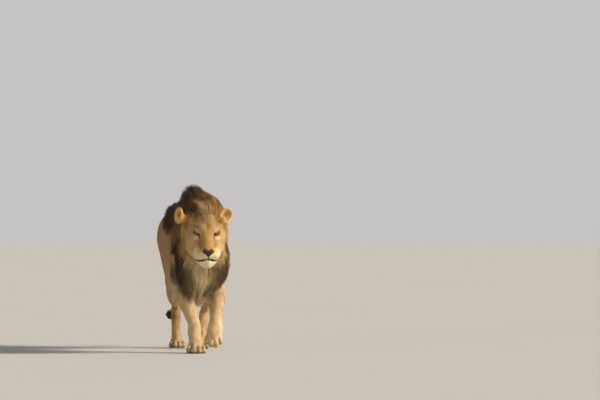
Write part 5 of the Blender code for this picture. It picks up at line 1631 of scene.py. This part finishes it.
def long_hair(names, total_density, width, steps=4, fine=1.0, seed_stand=0.0):
    P, N, U, M = roots(total_density)
    n = len(P)
    deep = np.maximum(ramp(M, 0.006, 0.050), 0.75 * apron(P))
    L = long_len(P) * (0.70 + 0.5 * RNG.random(n)) * (0.32 + 0.68 * deep)
    layer = RNG.random(n)
    rise = -0.030 * layer ** 1.3 + 0.004
    rise = rise + (-0.010 * layer + 0.001 - rise) * ruff(P)
    stand = 0.010 * RNG.random(n) ** 3
    # leaders of the clumps
    lead = np.arange(n)[RNG.random(n) < 1.0 / 16]
    paths = grow(P, N, L, rise, stand, 0.30, steps * 2)[:, ::2]
    tree = KDTree(len(lead))
    for i, j in enumerate(lead):
        tree.insert(P[j], i)
    tree.balance()
    near = np.array([tree.find(x)[1] for x in P])
    g = lead[near]
    pull = 0.42 + 0.30 * RNG.random(n)
    pull = pull * ramp(0.06 - np.linalg.norm(P - P[g], axis=1), 0.0, 0.02)
    tt = np.linspace(0, 1, steps + 1)
    w = (tt ** 1.4)[None, :, None] * pull[:, None, None]
    guide = paths[g] + (P - P[g])[:, None, :] * 0.15
    paths = paths * (1 - w) + guide * w
    wild = ramp(P[:, 2], 1.00, 1.06)
    loose = apron(P) * (1 - ramp(P[:, 2], 0.50, 0.58))
    paths, share = trim(paths, 0.004 + (0.006 + 0.016 * wild + 0.03 * loose) * RNG.random(n))
    rnd = 0.65 * noise(P[g], 300.0, 33) * 0.5 + 0.5 + 0.35 * (RNG.random(n) - 0.5)
    col = np.stack([long_tone(P, np.full(n, t), rnd) for t in tt], axis=1)
    shade = (0.74 + 0.52 * RNG.random(n))[:, None, None]
    own = tone(P)[:, None, :]
    edge = np.maximum(ramp(M, 0.008, 0.030), 0.88 * apron(P))[:, None, None]
    edge = np.maximum(edge, ramp(P[:, 1], 0.70, 0.80)[:, None, None])
    col = col * edge + own * (1 - edge)
    col = np.clip(col * shade, 0, 1)
    W = width * (0.65 + 0.7 * RNG.random(n)) * (0.60 + 0.40 * deep) * (1 - 0.35 * ruff(P))
    taper = np.array([0.75, 1.0, 0.95, 0.62, 0.4])[:steps]
    wid = W[:, None] * taper[None]
    side = unit(np.cross(N, lie(P, True)) + 0.5 * RNG.normal(size=(n, 3)))
    tris = 1 + 6 * (steps - 1) + 3
    most = int(195000 / tris)
    order = np.argsort(np.arctan2(P[:, 0] + 0.0, -(P[:, 2] - 0.75)), kind="stable")
    parts = np.array_split(order, max(1, int(np.ceil(n / most))))
    made = []
    for i, idx in enumerate(parts):
        nm = f"{names}_{i + 1}"
        ob = tube_mesh(nm, paths[idx], wid[idx], side[idx], 0.45, col[idx], U[idx], N[idx], 0.25)
        ob.data.materials.append(LONG_M)
        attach(ob, "root")
        made.append(ob)
    return made


ends = ramp(V[:, 1], 0.66, 0.74)
mane_d = MANE * (1 - ends) * open_ * (1 - EAR_W)
small = (1 - ramp(V[:, 2], 0.48, 0.56)) * ramp(V[:, 1], -0.60, -0.50)
mane = long_hair("mane", mane_d * 51500 * (1 - 0.3 * small), 0.00115, 4)
tuft = long_hair("tail_hair", MANE * ends * 260000, 0.0010, 4)
for ob in mane:
    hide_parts("mane_crest", "mane_breast")
for ob in tuft:
    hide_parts("tail_tuft")


# ---- eyes
def eyeball(name, s):
    n, m = 36, 56
    ang = np.concatenate((np.linspace(0, 0.9, 22), np.linspace(0.9, pi, n - 21)[1:]))
    rows = []
    for a_ in ang[1:-1]:
        for j in range(m):
            rows.append((a_, 2 * pi * j / m))
    rows = np.array([(0.0, 0.0)] + rows + [(pi, 0.0)])
    a_, b_ = rows[:, 0], rows[:, 1]
    bulge = 1 + 0.050 * np.clip(1 - (a_ / 0.62) ** 2, 0, 1)
    P = np.stack((np.sin(a_) * np.cos(b_), np.sin(a_) * np.sin(b_), np.cos(a_)), axis=1) * (EYE_R * bulge)[:, None]
    faces = []
    K = len(ang) - 2
    for j in range(m):
        faces.append((0, 1 + j, 1 + (j + 1) % m))
        faces.append((len(P) - 1, 1 + (K - 1) * m + (j + 1) % m, 1 + (K - 1) * m + j))
    for i in range(K - 1):
        for j in range(m):
            a0, a1 = 1 + i * m + j, 1 + i * m + (j + 1) % m
            faces.append((a0, a0 + m, a1 + m))
            faces.append((a0, a1 + m, a1))
    # the eye looks forward and a little outward and up, towards the one who meets it
    g = unit((np.array(AF) * 1.0 + AU * 0.30 + AX * s * 0.10)[None])[0]
    x = unit(np.cross(AU, g)[None])[0]
    y = np.cross(g, x)
    R = np.stack((x, y, g), axis=1)
    c = hd(*EYE_C[s])
    ob = mesh_of(name, P @ R.T + c + SHIFT, np.array(faces))
    at = ob.data.attributes.new("disc", "FLOAT_VECTOR", "POINT")
    rad = a_ / 0.95
    at.data.foreach_set("vector", np.stack((np.cos(b_) * rad, np.sin(b_) * rad, rad), axis=1).astype(np.float32).ravel())
    sp = ob.data.attributes.new("spoke", "FLOAT_VECTOR", "POINT")
    sp.data.foreach_set("vector", np.stack((np.cos(b_), np.sin(b_), rad * 0.25), axis=1).astype(np.float32).ravel())
    ob.data.materials.append(EYE_M)
    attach(ob, "root")
    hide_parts("eye_right" if s < 0 else "eye_left")
    return ob


EYE_M = eye_material()
for s in (-1, 1):
    eyeball("eyeball_right" if s < 0 else "eyeball_left", s)

# ---- whiskers
wp, ww, wu = [], [], []
for s in (-1, 1):
    for k in range(3):
        for j in range(4):
            a0 = np.array((s * (0.038 + 0.0090 * j), 0.154 - 0.0125 * j, -0.090 - 0.0130 * k - 0.0045 * j))
            root = hd(*a0)
            for _ in range(6):
                root = root - step_to(skin_field, root[None], 0.01)[0]
            L = 0.060 + 0.012 * j + 0.02 * RNG.random()
            d0 = unit((AX * s * (0.85 + 0.05 * j) + AF * (0.35 - 0.22 * j) - AU * (0.10 + 0.10 * k))[None])[0]
            pts = [root - d0 * 0.003]
            p_, d_ = root.copy(), d0
            for t_ in range(4):
                d_ = unit((d_ + np.array((0, 0.10, -0.12)) + 0.03 * RNG.normal(size=3))[None])[0]
                p_ = p_ + d_ * L / 4
                pts.append(p_.copy())
            wp.append(pts)
            ww.append((0.00040, 0.00036, 0.00028, 0.00016))
            wu.append((0.1 + 0.2 * j + (0.5 if s > 0 else 0.0) * 0.1, 0.1 + 0.22 * k))
wp = np.array(wp)
wcol = np.tile(np.array(tint(246, 240, 226)), (len(wp), 5, 1))
wh = tube_mesh("whiskers", wp, np.array(ww), np.tile(AU, (len(wp), 1)), 1.0, wcol, np.array(wu))
wh.data.materials.append(LONG_M)
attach(wh, "root")

# ---------------------------------------------------------------- stage, light, camera
bpy.ops.mesh.primitive_circle_add(vertices=96, radius=92.0, fill_type="NGON", location=(0, 0, 0))
floor = bpy.context.object
floor.name = "floor"
floor.data.materials.append(plain_material("floor", (0.66, 0.645, 0.62), 0.9, 0.6, 0.03))

bpy.ops.mesh.primitive_uv_sphere_add(segments=64, ring_count=32, radius=91.0, location=(0, 0, 0))
dome = bpy.context.object
dome.name = "backdrop"
D_ = Nodes("backdrop")
D_.b.inputs["Base Color"].default_value = (0.0, 0.0, 0.0, 1)
D_.b.inputs["Specular IOR Level"].default_value = 0.0
D_.b.inputs["Emission Color"].default_value = (1.0, 0.985, 0.965, 1)
D_.b.inputs["Emission Strength"].default_value = 0.56
dome.data.materials.append(D_.m)
dome.visible_diffuse = False
dome.visible_glossy = False
dome.visible_shadow = False


def sun(name, towards, power, angle, col):
    l = bpy.data.lights.new(name, "SUN")
    l.energy = power
    l.angle = radians(angle)
    l.color = col
    o = bpy.data.objects.new(name, l)
    bpy.context.scene.collection.objects.link(o)
    o.rotation_euler = Vector(towards).to_track_quat("-Z", "Y").to_euler()
    return o


sun("key", (-0.93, 0.36, -0.46), 4.6, 12, (1.0, 0.92, 0.79))
sun("fill", (0.62, 0.78, -0.12), 0.55, 20, (1.0, 0.95, 0.90))
w = bpy.data.worlds.new("studio")
bpy.context.scene.world = w
w.use_nodes = True
w.node_tree.nodes["Background"].inputs[0].default_value = (1.0, 0.99, 0.98, 1)
w.node_tree.nodes["Background"].inputs[1].default_value = 0.27

cam_d = bpy.data.cameras.new("camera")
cam = bpy.data.objects.new("camera", cam_d)
bpy.context.scene.collection.objects.link(cam)
bpy.context.scene.camera = cam
az = radians(6.0)
fw = np.array((sin(az), cos(az), 0.0))
rt = np.array((cos(az), -sin(az), 0.0))
cam.location = Vector(tuple(-30.0 * fw + np.array((SHIFT[0], SHIFT[1], 1.01))))
look = fw + 0.0257 * rt + np.array((0, 0, 0.00189))
cam.rotation_mode = "QUATERNION"
cam.rotation_quaternion = Vector(tuple(look)).to_track_quat("-Z", "Y")
cam_d.sensor_width = 36.0
cam_d.lens = 36.0 * 4225.35 / 600.0
cam_d.clip_start = 1.0
cam_d.clip_end = 900.0
bpy.context.scene.view_settings.view_transform = "Standard"
